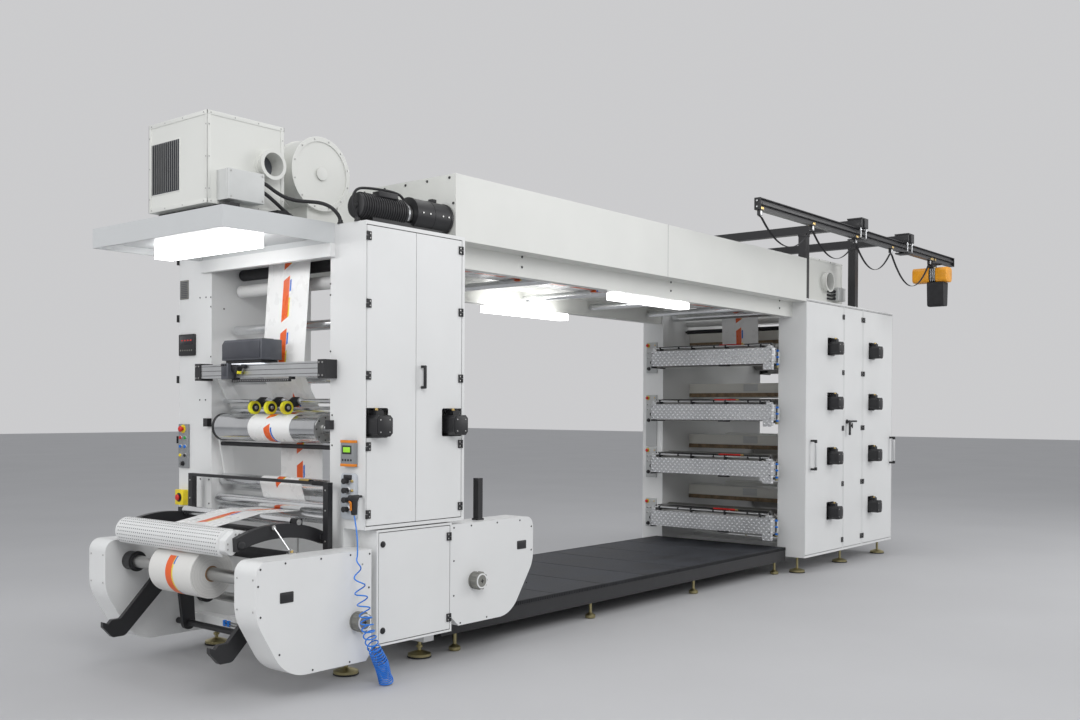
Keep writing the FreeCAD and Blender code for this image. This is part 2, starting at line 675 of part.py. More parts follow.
def make_layon():
    px, pz = ARM_PIVOT
    top = [V(LAYON_X - 30, 0, 880), V(-372, 0, 940), V(px + 28, 0, pz + 26)]
    low = [V(px + 10, 0, pz - 40), V(-372, 0, 858), V(LAYON_X - 25, 0, 805)]
    pieces = []
    for y in ARM_Y:
        shift = V(0, y, 0)
        upper = Part.Arc(*[p + shift for p in top]).toShape()
        right = Part.LineSegment(top[2] + shift, low[0] + shift).toShape()
        lower = Part.Arc(*[p + shift for p in low]).toShape()
        left = Part.LineSegment(low[2] + shift, top[0] + shift).toShape()
        arm = Part.Face(Part.Wire([upper, right, lower, left])).extrude(V(0, ARM_PLATE, 0))
        ear = box(ARM_ROLLER[0] - 26, ARM_ROLLER[0] + 26, y, y + ARM_PLATE, 900, ARM_ROLLER[1] + 20)
        arm = arm.fuse(ear)
        for x, z, radius in ((px, pz, ARM_PIVOT_R), (LAYON_X, LAYON_Z, 15.0), (ARM_ROLLER[0], ARM_ROLLER[1], 10.0)):
            arm = arm.cut(rod_y(x, z, radius + SEAT, y - 1, y + ARM_PLATE + 1))
        pieces.append(arm.removeSplitter())
    gate_inner = (GATE_NEAR + GATE_POST, GATE_FAR - GATE_POST)
    pieces.append(rod_y(px, pz, ARM_PIVOT_R, gate_inner[0] + SEAT, gate_inner[1] - SEAT))
    ring = rod_y(GUARD_X, GUARD_Z, GUARD_R, GUARD_FROM, ARM_Y[1] - SEAT)
    ring = ring.cut(rod_y(GUARD_X, GUARD_Z, GUARD_R - GUARD_SHEET, GUARD_FROM - 1, ARM_Y[1] + 1))
    ring = ring.cut(box(GUARD_X - 48, GUARD_X + 200, GUARD_FROM - 1, ARM_Y[1] + 1, GUARD_Z - 200, GUARD_Z))
    ring = ring.cut(box(GUARD_X + 20, GUARD_X + 200, GUARD_FROM - 1, ARM_Y[1] + 1, GUARD_Z - 1, GUARD_Z + 200))
    end = [(LAYON_X - 34, LAYON_Z - 60, 20), (LAYON_X + 8, LAYON_Z - 30, 10), (LAYON_X + 22, LAYON_Z + 20, 10),
           (LAYON_X + 60, LAYON_Z + 40, 10), (LAYON_X + 40, LAYON_Z + 78, 10), (LAYON_X - 20, LAYON_Z + 76, 20),
           (LAYON_X - 76, LAYON_Z + 30, 20), (LAYON_X - 76, LAYON_Z - 30, 20)]
    plate = plate_y(end, ARM_Y[0] + ARM_PLATE + SEAT, GUARD_FROM)
    disc = rod_y(GUARD_X, GUARD_Z, GUARD_R, GUARD_FROM - GUARD_SHEET, GUARD_FROM)
    disc = disc.common(box(GUARD_X - 200, GUARD_X + 20, GUARD_FROM - 50, GUARD_FROM + 1, GUARD_Z - 200, GUARD_Z + 200))
    disc = disc.cut(box(GUARD_X - 48, GUARD_X + 200, GUARD_FROM - 50, GUARD_FROM + 1, GUARD_Z - 200, GUARD_Z))
    plate = plate.fuse(disc).cut(rod_y(LAYON_X, LAYON_Z, 15 + SEAT, ARM_Y[0], GUARD_FROM + 1))
    return {"layon_arms": pieces, "roll_guard": [ring.fuse(plate).removeSplitter()]}


def layon_radius():
    """The lay-on roller's radius: it presses the film on the roll."""
    distance = math.hypot(LAYON_X - ROLL_X, LAYON_Z - ROLL_Z)
    return distance - ROLL_R - FILM - 2 * FILM_GAP - 0.2


def roller(x, z, radius, y0, y1, journal=12.0, reach=20.0):
    """A guide roller between two frames, with a thinner journal at each end."""
    body = rod_y(x, z, radius, y0 + reach, y1 - reach)
    return body.fuse(rod_y(x, z, journal, y0 + SEAT, y1 - SEAT)).removeSplitter()


def make_rollers():
    chrome = []
    for x, z, radius in (TOP_ROLLER, BACKING_ROLLER, TURN_ROLLER, LOOP_ROLLER, FRONT_ROLLER, NIP_UPPER,
                         NIP_LOWER, CHROME_ROLLER, RAIL_ROLLER):
        chrome.append(roller(x, z, radius, NEAR_FRAME, FAR_FRAME))
    x, z, radius = ARM_ROLLER
    chrome.append(roller(x, z, radius, ARM_Y[0] - SEAT, ARM_Y[1] + ARM_PLATE + SEAT, 10, ARM_PLATE + 8))
    chrome.append(rod_y(WHEEL_SHAFT[0], WHEEL_SHAFT[1], WHEEL_SHAFT[2], NEAR_FRAME + SEAT, FAR_FRAME - SEAT))
    wall = HALF_WIDTH - BRIDGE_BEAM_INSET - BRIDGE_BEAM
    for x in BRIDGE_ROLLERS:
        z = TOP_ROLLER[1] + TOP_ROLLER[2] - BRIDGE_ROLLER_R
        chrome.append(roller(x, z, BRIDGE_ROLLER_R, -wall, wall))
    x, z, radius = STACK_ROLLER
    chrome.append(roller(x, z, radius, STACK_BACK + STACK_PLATE, STACK_FAR - STACK_PLATE))
    dark = [
        roller(*RUBBER_ROLLER, NEAR_FRAME, FAR_FRAME), roller(*LOW_ROLLER, NEAR_FRAME, FAR_FRAME),
        rod_y(*BLACK_BAR, NEAR_FRAME + SEAT, FAR_FRAME - SEAT),
        roller(LAYON_X, LAYON_Z, layon_radius(), ARM_Y[0] - SEAT, ARM_Y[1] + ARM_PLATE + SEAT, 15, ARM_PLATE + 64),
        roller(*WHITE_ROLLER, NEAR_FRAME, FAR_FRAME),
    ]
    for x, z, radius in STACK_TOP_ROLLERS:
        dark.append(roller(x, z, radius, STACK_BACK + STACK_PLATE, STACK_FAR - STACK_PLATE))
    return {"guide_rollers": chrome, "rubber_rollers": dark}


def make_web():
    x, z, radius = STACK_ROLLER
    route = [
        (x + 60, z - 300, 0, 1), STACK_ROLLER + (1,), TOP_ROLLER + (1,), BACKING_ROLLER + (1,),
        TURN_ROLLER + (-1,), (DRUM_X, DRUM_Z, DRUM_R, 1), BLACK_BAR + (-1,), LOOP_ROLLER + (-1,),
        FRONT_ROLLER + (1,), NIP_UPPER + (-1,), ARM_ROLLER + (1,), (LAYON_X, LAYON_Z, layon_radius(), 1),
        (ROLL_X, ROLL_Z, ROLL_R, -1), (ROLL_X + ROLL_R + FILM_GAP + FILM / 2, ROLL_Z - 20, 0, 1),
    ]
    return {"web": [film(route, FILM_FROM, FILM_TO)]}


def make_drum():
    drum = rod_y(DRUM_X, DRUM_Z, DRUM_R, DRUM_FROM, DRUM_TO)
    drum = drum.fuse(rod_y(DRUM_X, DRUM_Z, DRUM_SHAFT_R, NEAR_FRAME + SEAT, FAR_FRAME - SEAT))
    reach = DRUM_R + FILM + 2 * FILM_GAP + WHEEL_R
    wheel_z = DRUM_Z + math.sqrt(reach ** 2 - (WHEEL_X - DRUM_X) ** 2)
    wheels = []
    clamps = []
    sx, sz, sr = WHEEL_SHAFT
    for y in WHEEL_Y:
        wheels.append(rod_y(WHEEL_X, wheel_z, WHEEL_R, y - WHEEL_WIDTH / 2, y + WHEEL_WIDTH / 2))
        side = y + WHEEL_WIDTH / 2 + SEAT
        lever = plate_y([(WHEEL_X - 14, wheel_z - 14, 8), (WHEEL_X + 14, wheel_z - 16, 8), (sx + 26, sz - 24, 10),
                         (sx + 26, sz + 26, 14), (sx - 26, sz + 26, 14), (WHEEL_X - 14, wheel_z + 14, 8)], side, side + 16)
        clamps.append(lever.cut(rod_y(sx, sz, sr + SEAT, side - 1, side + 17)))
    for y0, y1 in ((NEAR_FRAME - 35, NEAR_FRAME + 5), (FAR_FRAME, FAR_FRAME + 46)):
        clamps.append(box(-34, 0, y0, y1, DRUM_Z, DRUM_Z + 55))
    x0 = RAIL_X[0] - 6
    z0, z1 = RAIL_Z[0] - 14, RAIL_Z[1] + 10
    clamps.append(box(x0, 0, RAIL_FROM - RAIL_BLOCK, RAIL_FROM, z0, z1))
    clamps.append(box(x0, 0, RAIL_TO, RAIL_TO + RAIL_BLOCK, z0, z1))
    x, y, z0, z1 = REAR_CYLINDER
    clamps.append(box(x - 22, x + 22, y - 22, y + 22, z0, z1).fuse(box(x - 30, x + 30, y - 26, y + 26, z0, z0 + 12)))
    return {"draw_drum": [drum.removeSplitter()], "press_wheels": wheels, "tower_brackets": clamps}


def make_inspection():
    x0, x1 = RAIL_X
    z0, z1 = RAIL_Z
    rail = box(x0, x1, RAIL_FROM, RAIL_TO, z0, z1)
    camera = box(x0 - 60, x1 + 40, CAMERA_FROM, CAMERA_TO, z1 + SEAT, CAMERA_TOP)
    camera = camera.fuse(box(x0 - 60, x0 - SEAT, CAMERA_TO - 70, CAMERA_TO, z0 - 10, z1 + SEAT))
    return {"inspection_rail": [rail], "inspection_camera": [camera.removeSplitter()]}


def make_gate():
    x0, x1 = GATE_X
    low = GATE_TOP - GATE_BAR
    return {"guard_gate": [
        box(x0, x1, GATE_NEAR, GATE_NEAR + GATE_POST, CROSS_BEAM[3], low - SEAT),
        box(x0, x1, GATE_FAR - GATE_POST, GATE_FAR, CHEEK_TOP, low - SEAT),
        box(x0, x1, GATE_NEAR, GATE_FAR, low, GATE_TOP),
    ]}


def make_canopy():
    skin = CANOPY_SKIN
    shell = box(CANOPY_FRONT, 0, -CANOPY_HALF, CANOPY_HALF, CANOPY_LOW, CANOPY_TOP)
    shell = shell.cut(box(CANOPY_FRONT + skin, -skin, -CANOPY_HALF + skin, CANOPY_HALF - skin,
                          CANOPY_LOW - 1, CANOPY_LOW + CANOPY_RECESS))
    bar = box(-36, 0, -CANOPY_HALF, CANOPY_HALF - 20, CANOPY_LOW - 80, CANOPY_LOW)
    lamps = [box(-460, -460 + LAMP, -448, 511, 2535, CANOPY_LOW + CANOPY_RECESS)]
    wall = HALF_WIDTH - BRIDGE_BEAM_INSET - BRIDGE_BEAM
    for x0, x1, side, drop in BRIDGE_LAMPS:
        low = BRIDGE_LOW - drop
        y0, y1 = sorted((side * (wall - 145), side * (wall - 45)))
        lamp = [box(x0, x1, y0, y1, low, low + 60)]
        for x in (x0 + 150, x1 - 190):
            y0, y1 = sorted((side * wall, side * (wall - 6)))
            lamp.append(box(x, x + 40, y0, y1, low + 40, BRIDGE_BEAM_LOW + 60))
            y0, y1 = sorted((side * wall, side * (wall - 50)))
            lamp.append(box(x, x + 40, y0, y1, low + 40, low + 46))
        lamps.append(fuse_all(lamp))
    roof = box(0, BRIDGE_START, NEAR_FRAME, FAR_FRAME, TOWER_TOP - ROOF, TOWER_TOP)
    return {"canopy": [shell], "luminaires": lamps, "tower_roof": [roof, bar]}


def make_roof_units():
    x0, x1, y0, y1 = HOOD
    base = CANOPY_TOP + CHANNEL
    pipe, bore = spigot(x1 - 116, BLOWER_Z - 14, y0, DUCT_REACH)
    hood = box(x0, x1, y0, y1, base, base + HOOD_HEIGHT).fuse(pipe).cut(bore)
    channels = [
        box(x0 + 60, x0 + 130, y0 - 120, y1, CANOPY_TOP, base),
        box(x1 - 130, x1 - 60, y0 - 120, y1, CANOPY_TOP, base),
    ]
    blower = [rod_y(BLOWER_X, BLOWER_Z, BLOWER_R, BLOWER_FROM, BLOWER_TO)]
    blower.append(box(5, 250, BLOWER_FROM + 30, BLOWER_TO - 30, TOWER_TOP, BLOWER_Z - 150))
    y = ROOF_MOTOR_Y
    end = BRIDGE_START - ROOF_MOTOR_GAP
    low = TOWER_TOP + 98
    motor_parts = [rod_x(y, low, 76, 20, 370), rod_x(y, low, 50, 370, 424), rod_x(y, low + 10, 96, 424, end)]
    motor_parts.append(box(100, end - 35, y - 50, y + 50, TOWER_TOP, TOWER_TOP + 40))
    boxes = [
        box(x0 + 60, x0 + 300, y0 - 110, y0, base + 20, base + 190),
        box(FAN_BOX[1] - 255, FAN_BOX[1] - 74, FAN_BOX[2] - 70, FAN_BOX[2], STACK_TOP + 91, STACK_TOP + 231),
    ]
    return {
        "hood_box": [hood.removeSplitter()], "hood_channels": channels, "junction_boxes": boxes,
        "blower": [fuse_all(blower)], "roof_motor": [fuse_all(motor_parts)],
    }


def make_bridge():
    near = -HALF_WIDTH
    far = HALF_WIDTH
    points = [
        (BRIDGE_START, TOWER_TOP, 0), (TOWER_LENGTH, TOWER_TOP, 0), (TOWER_LENGTH, BRIDGE_LOW, 0),
        (STACK_START, BRIDGE_LOW, 0), (STACK_START, BRIDGE_TOP, 0), (BRIDGE_START, BRIDGE_TOP, 0),
    ]
    panels = [plate_y(points, near, near + BRIDGE_SKIN), plate_y(points, far - BRIDGE_SKIN, far)]
    inner = (near + BRIDGE_SKIN, far - BRIDGE_SKIN)
    roof = box(BRIDGE_START, STACK_START, *inner, BRIDGE_TOP - BRIDGE_SKIN, BRIDGE_TOP)
    end = box(BRIDGE_START, BRIDGE_START + BRIDGE_SKIN, *inner, TOWER_TOP, BRIDGE_TOP)
    floor = box(TOWER_LENGTH, STACK_START, *inner, BRIDGE_LOW, BRIDGE_LOW + BRIDGE_FLOOR)
    lip = box(BRIDGE_START, TOWER_LENGTH + BRIDGE_SKIN, *inner, TOWER_TOP, TOWER_TOP + BRIDGE_FLOOR)
    lip = lip.fuse(box(TOWER_LENGTH, TOWER_LENGTH + BRIDGE_SKIN, *inner, BRIDGE_LOW, TOWER_TOP))
    outer = far - BRIDGE_BEAM_INSET
    beams = [
        box(TOWER_LENGTH, STACK_START, -outer, BRIDGE_BEAM - outer, BRIDGE_BEAM_LOW, BRIDGE_LOW),
        box(TOWER_LENGTH, STACK_START, outer - BRIDGE_BEAM, outer, BRIDGE_BEAM_LOW, BRIDGE_LOW),
    ]
    return {
        "bridge_housing": panels + [fuse_all([roof, end, floor, lip])], "bridge_beams": beams,
    }


def make_walkway():
    low = DECK_LEVEL - DECK_SHEET
    deck = box(DECK_FROM, DECK_TO, -DECK_EDGE, DECK_EDGE, low, DECK_LEVEL)
    deck = deck.cut(box(DECK_FROM - 1, REAR_CHEEK_END + GAP, FAR_CHEEK - GAP, DECK_EDGE + 1, low - 1, DECK_LEVEL + 1))
    frame = []
    for side in (-1, 1):
        start = DECK_FROM if side < 0 else REAR_CHEEK_END + GAP
        y = side * DECK_EDGE
        y0, y1 = sorted((y, y - side * SKIRT))
        frame.append(box(start, DECK_TO, y0, y1, SKIRT_LOW, low))
        y -= side * (SKIRT + SEAT)
        y0, y1 = sorted((y, y - side * DECK_TUBE))
        frame.append(box(DECK_FROM, DECK_TO, y0, y1, SKIRT_LOW, low))
    return {"walkway_deck": [deck], "walkway_frame": frame}


def make_stack():
    low = STACK_DOOR_LOW - GAP
    high = STACK_DOOR_HIGH + GAP
    doorway = (STACK_DOORS[0][0] - GAP, STACK_DOORS[-1][1] + GAP, low, high)
    frame_parts = [open_cabinet(STACK_START, STACK_END, -HALF_WIDTH, STACK_BACK, STACK_LOW, STACK_TOP, doorway)]
    for i in (0, 1):
        frame_parts.append(box(STACK_DOORS[i][1] + GAP, STACK_DOORS[i + 1][0] - GAP,
                               -HALF_WIDTH, -HALF_WIDTH + RIM_DEPTH, low, high))
    levels = [DECK_TOP_Z + STACK_MOTOR_Z - DECK_PITCH * i for i in range(DECKS)]
    notches = ([], [], [])
    for z in levels:
        x = STACK_MOTORS[0]
        notches[0].append(corners(x - NOTCH_FREE, x + STACK_MOTOR + NOTCH_NEAR,
                                  z - NOTCH_NEAR, z + STACK_MOTOR + NOTCH_TOP, 12))
        x = STACK_MOTORS[1]
        notches[2].append(corners(x - NOTCH_NEAR, x + STACK_MOTOR + NOTCH_FREE,
                                  z - NOTCH_NEAR, z + STACK_MOTOR + NOTCH_TOP, 12))
    doors = []
    for (x0, x1), cutouts in zip(STACK_DOORS, notches):
        doors.append([door_pan(x0, x1, STACK_DOOR_LOW, STACK_DOOR_HIGH, cutouts)])
    for i, toward in ((0, -1), (1, -1), (2, 1)):
        edge = STACK_DOORS[i][1] + GAP / 2 if toward < 0 else STACK_DOORS[i][0] - GAP / 2
        for z in STACK_HINGE_Z:
            door_half, frame_half = hinge(edge, z, toward)
            doors[i].append(door_half)
            frame_parts.append(frame_half)
    doors[0].append(pull_bar(5790, 10, -HALF_WIDTH, 42, 1015, 1315, 20))
    doors[2].append(pull_bar(7770, 10, -HALF_WIDTH, 42, 1015, 1315, 20))
    doors[1].append(rod_y(6620, 1490, 12, -HALF_WIDTH - 30, -HALF_WIDTH))
    doors[1].append(box(6608, 6632, -HALF_WIDTH - 45, -HALF_WIDTH - 30, 1350, 1502))
    inner = (STACK_BACK + STACK_PLATE, STACK_FAR - STACK_PLATE)
    plates = [
        box(STACK_START, STACK_END, STACK_BACK, inner[0], STACK_LOW, STACK_TOP),
        box(STACK_START, STACK_END, inner[1], STACK_FAR, STACK_LOW, STACK_TOP),
    ]
    ties = []
    for x in STACK_TIES:
        for z in (STACK_TOP - STACK_TIE, STACK_LOW):
            ties.append(box(x, x + STACK_TIE, *inner, z, z + STACK_TIE))
    motors = []
    for x, z in TOWER_MOTORS:
        motors.append(motor(x, z, MOTOR, NEAR_FRAME - FRAME_PLATE - SHEET, -HALF_WIDTH - MOTOR_REACH))
    for x in STACK_MOTORS:
        for z in levels:
            motors.append(motor(x, z, STACK_MOTOR, STACK_BACK - SHEET, -HALF_WIDTH - STACK_MOTOR_REACH))
    return {
        "stack_cabinet_near": [fuse_all(frame_parts)], "stack_door_left": [fuse_all(doors[0])],
        "stack_door_centre": [fuse_all(doors[1])], "stack_door_right": [fuse_all(doors[2])],
        "stack_cabinet_far": [box(STACK_START, STACK_END, STACK_FAR, HALF_WIDTH, STACK_LOW, STACK_TOP)],
        "stack_frame": plates + ties, "drive_motors": motors,
    }


def make_decks():
    middle = (STACK_START + STACK_END) / 2
    front = middle - STACK_START + DECK_REACH
    near = STACK_BACK + STACK_PLATE
    far = STACK_FAR - STACK_PLATE
    nodes = {"deck_guards": [], "deck_brackets": [], "plate_cylinders": [], "metal_cylinders": [], "dryer_hoods": []}
    for side in (-1, 1):
        for i in range(DECKS):
            z = DECK_TOP_Z - DECK_PITCH * i

            def span(a, b):
                """The X range of what lies a to b behind the deck's front, on this side."""
                return sorted((middle + side * (front - a), middle + side * (front - b)))

            low = z + GUARD_RISE - GUARD_HALF
            guard = box(*span(0, GUARD_PLATE), DECK_NEAR, DECK_FAR, low, z + GUARD_RISE + GUARD_HALF)
            tab = box(*span(0, GUARD_PLATE), DECK_NEAR, DECK_NEAR + GUARD_TAB_WIDTH, low - GUARD_TAB, z)
            nodes["deck_guards"].append(guard.fuse(tab).removeSplitter())
            for y in (near, far - BRACKET):
                nodes["deck_brackets"].append(box(*span(GUARD_PLATE + SEAT, DECK_REACH + BRACKET_LAP),
                                                  y, y + BRACKET, z - 80, z + 80))
            for key, (back, rise, radius), inset in (
                    ("metal_cylinders", ANILOX, BRACKET), ("plate_cylinders", PLATE_CYLINDER, BRACKET),
                    ("metal_cylinders", IMPRESSION, 0.0)):
                x = middle + side * (front - back)
                nodes[key].append(roller(x, z + rise, radius, near + inset, far - inset, 20))
            nodes["dryer_hoods"].append(box(*span(HOOD_BAR[0], HOOD_BAR[1]), near, far,
                                            z + HOOD_BAR[2], z + HOOD_BAR[3]))
    return nodes


def make_gantry():
    pieces = []
    half = GANTRY_POST / 2
    for x in GANTRY_X:
        for y in (-GANTRY_Y, GANTRY_Y):
            pieces.append(box(x - half, x + half, y - half, y + half, STACK_TOP, GANTRY_BEAM_LOW - SEAT))
        top = GANTRY_BEAM_LOW + GANTRY_POST
        beam = box(x - half, x + half, RAIL_Y - RAIL_REACH, GANTRY_Y + half, GANTRY_BEAM_LOW, top)
        clamp = GANTRY_CLAMP / 2
        for z in (top, GANTRY_BEAM_LOW):
            beam = beam.fuse(box(x - clamp, x + clamp, RAIL_Y - clamp, RAIL_Y + clamp, z, z + GANTRY_CLAMP_PLATE))
        pieces.append(beam.removeSplitter())
    low = GANTRY_BEAM_LOW - HOIST_RAIL_HEIGHT
    top = GANTRY_BEAM_LOW
    f = HOIST_FLANGE
    half_web = 3.0
    section = []
    for side in (1, -1):
        z0, z1 = (low, top) if side > 0 else (top, low)
        section += [(RAIL_Y + side * f, z0, 0), (RAIL_Y + side * f, z0 + side * 6, 0),
                    (RAIL_Y + side * half_web, z0 + side * 10, 0), (RAIL_Y + side * half_web, z1 - side * 10, 0),
                    (RAIL_Y + side * f, z1 - side * 6, 0), (RAIL_Y + side * f, z1, 0)]
    rail = [plate_x(section, HOIST_RAIL[0], HOIST_RAIL[1])]
    for x in CLIPS:
        rail.append(box(x - CLIP_HALF, x + CLIP_HALF, RAIL_Y - 14, RAIL_Y + 14, low - CLIP_DROP, low))
    cable_z = low - CLIP_DROP - CABLE_R - SEAT
    flat = CLIP_HALF - 2
    route = [(CLIPS[0] - flat, RAIL_Y, cable_z)]
    for x0, x1, drop in zip(CLIPS[:-1], CLIPS[1:], CABLE_DROPS):
        for share in CABLE_STEPS:
            x = x0 + flat + (x1 - x0 - 2 * flat) * share
            route.append((x, RAIL_Y, cable_z - drop * (1 - (2 * share - 1) ** 2)))
    route.append((CLIPS[-1] + flat, RAIL_Y, cable_z))
    cable = route_tube("hoist cable", route, CABLE_R)
    x = HOIST_X
    hoist = [box(x - 60, x + 60, RAIL_Y - 35, RAIL_Y + 35, low - 75, low - SEAT)]
    hoist.append(plate_y(corners(x - 95, x + 95, low - 240, low - 75, 45), RAIL_Y - 190, RAIL_Y + 190))
    bag = plate_y([(x - 60, low - 500, 30), (x + 60, low - 500, 30), (x + 75, low - 240 - SEAT, 0),
                   (x - 75, low - 240 - SEAT, 0)], RAIL_Y - 150, RAIL_Y + 30)
    x0, x1, y0, y1, z1 = FAN_BOX
    pipe, bore = spigot(x0 + 420, STACK_TOP + 281, y0, DUCT_REACH, 95.0)
    fan = box(x0, x1, y0, y1, STACK_TOP, z1).fuse(pipe).cut(bore)
    return {
        "gantry": pieces, "hoist_rail": rail, "hoist": [fuse_all(hoist)], "chain_bag": [bag],
        "festoon_cables": [cable], "stack_fan_box": [fan.removeSplitter()],
    }


def make_controls():
    """Panels on the tower's front faces and on the stack's far cabinet, and the air gun with its hose."""
    panels = []
    for depth, y0, y1, z0, z1 in FACE_PANELS:
        panels.append(box(-depth, 0, y0, y1, z0, z1))
    depth, y0, y1, z0, z1 = REGULATOR
    board = plate_x([(y0, z0, 25), (y1, z0, 25), (y1, z1, 25), (y0, z1, 25)], -depth, 0)
    for z in (z0 + 60, z0 + 115, z0 + 170, z0 + 225):
        board = board.fuse(rod_x((y0 + y1) / 2, z, 17, -depth - 42, -depth))
    panels.append(board)
    for i, (low, high) in enumerate(DECK_PANELS):
        z = DECK_TOP_Z - DECK_PITCH * i
        panels.append(box(STACK_START - 14, STACK_START, STACK_FAR + 31, HALF_WIDTH - 48, z - low, z + high))
    x, y, z = HOSE_LEAD[0]
    z += HOSE_GAP
    gun = plate_y([(x - 16, z + SEAT, 4), (x + 14, z + SEAT, 4), (x + 17, z + 92, 8), (x + 26, z + 118, 8), (x - 46, z + 118, 8),
                   (x - 46, z + 92, 6), (x - 16, z + 86, 6)], y - 13, y + 13)
    bracket = box(x + 10, 0, y - 5, y + 5, z + 96, z + 112)
    panels.append(gun.fuse(bracket).removeSplitter())
    x, y, z, radius = HOSE_FITTING
    panels.append(rod_z(x, y, radius, z, LOW_CABINET[2]))
    lead = route_tube("hose lead", HOSE_LEAD, HOSE_R)
    coil = route_tube("hose coil", HOSE_COIL, COIL_R)
    tail = route_tube("hose tail", HOSE_TAIL, HOSE_R)
    return {"control_panels": panels, "air_hose": [lead.fuse(coil).fuse(tail)]}


def build():
    nodes = {}
    for maker in (make_tower_frames, make_tower_cabinet, make_lower_cabinet, make_cheeks, make_base, make_roll,
                  make_lift_arms, make_layon, make_rollers, make_web, make_drum, make_inspection, make_gate,
                  make_canopy, make_roof_units, make_bridge, make_walkway, make_stack, make_decks, make_gantry,
                  make_controls):
        nodes.update(maker())
    return nodes


def main():
    os.makedirs("parts", exist_ok=True)
    for name, solids in build().items():
        shape = solids[0] if len(solids) == 1 else Part.makeCompound(solids)
        shape.translate(-ORIGIN)
        shape.exportStep(os.path.join("parts", name + ".step"))


main()
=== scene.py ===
import math

import bmesh
import bpy
from mathutils import Matrix, Vector


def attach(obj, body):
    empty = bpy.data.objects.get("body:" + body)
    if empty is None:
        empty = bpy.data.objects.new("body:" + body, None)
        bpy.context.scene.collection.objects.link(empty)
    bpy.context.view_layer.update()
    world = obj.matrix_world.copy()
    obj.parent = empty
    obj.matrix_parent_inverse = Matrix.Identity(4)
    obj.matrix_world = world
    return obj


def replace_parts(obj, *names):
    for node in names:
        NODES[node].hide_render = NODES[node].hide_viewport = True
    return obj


bl_info = {
    "name": "Flexographic Printing Press",
    "version": (1, 0, 0),
    "blender": (4, 5, 0),
    "location": "3D View > Sidebar > Press",
    "description": "Dresses the frame of a stack type printing press",
    "category": "Object",
}

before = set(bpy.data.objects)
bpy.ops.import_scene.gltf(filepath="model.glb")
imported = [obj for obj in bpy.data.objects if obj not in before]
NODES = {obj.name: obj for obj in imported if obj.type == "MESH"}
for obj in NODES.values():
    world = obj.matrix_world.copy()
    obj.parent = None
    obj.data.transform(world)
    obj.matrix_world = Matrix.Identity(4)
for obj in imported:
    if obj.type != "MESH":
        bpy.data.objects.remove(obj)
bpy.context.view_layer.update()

# The machine's own datum, in millimetres: X from the tower's front face, Y from the middle of the
# machine, Z from the floor. The frame's origin is under one foot, at this point.
DATUM = Vector((95.0, -680.0, 0.0))
FACE = -955.0
FAR_FACE = 955.0
PRESS = "press_frame"

# Ways that a part faces: near side, far side, the winder's end, the stack's end and up
FRONT = (0, -1, 0)
FAR = (0, 1, 0)
AHEAD = (-1, 0, 0)
BEHIND = (1, 0, 0)
UP = (0, 0, 1)

# Edges sharper than this stay sharp
SMOOTH = math.radians(35.0)

# X and Z of the axes that several pieces share, and of the guard over the roll, with its radius
ROLL = (-590, 645)
SPINDLE = (-60, 377)
DRUM = (40, 1475)
GUARD = (-645, 842, 84)

# The heights of the stack's decks, its middle, and how far a deck's guard stands from it
DECK_LEVELS = tuple(2120 - 555 * i for i in range(4))
STACK_MIDDLE = 6751
STACK_REACH = 1351

# The hoist's rail, and where the gantry's two beams and four feet stand
RAIL_Y = -1390
GANTRY_X = (5860, 7040)
GANTRY_Y = (-830, 830)

# The hinges' depth, the line of their pins and their heights
HINGE_Y = (FACE, FACE - 8)
PIN_Y = FACE - 6
TOWER_HINGES = (985, 1379, 1793, 2211, 2603)
STACK_HINGES = (267, 847, 1422, 1997, 2572)
LOW_HINGES = (290, 800)


def mm(x, y, z):
    """A point of the machine's datum, in millimetres, as a point of the frame, in metres."""
    return (Vector((x, y, z)) - DATUM) / 1000.0


# The middle of the film's stripe across the machine, in metres
STRIPE = mm(0, -97, 0).y


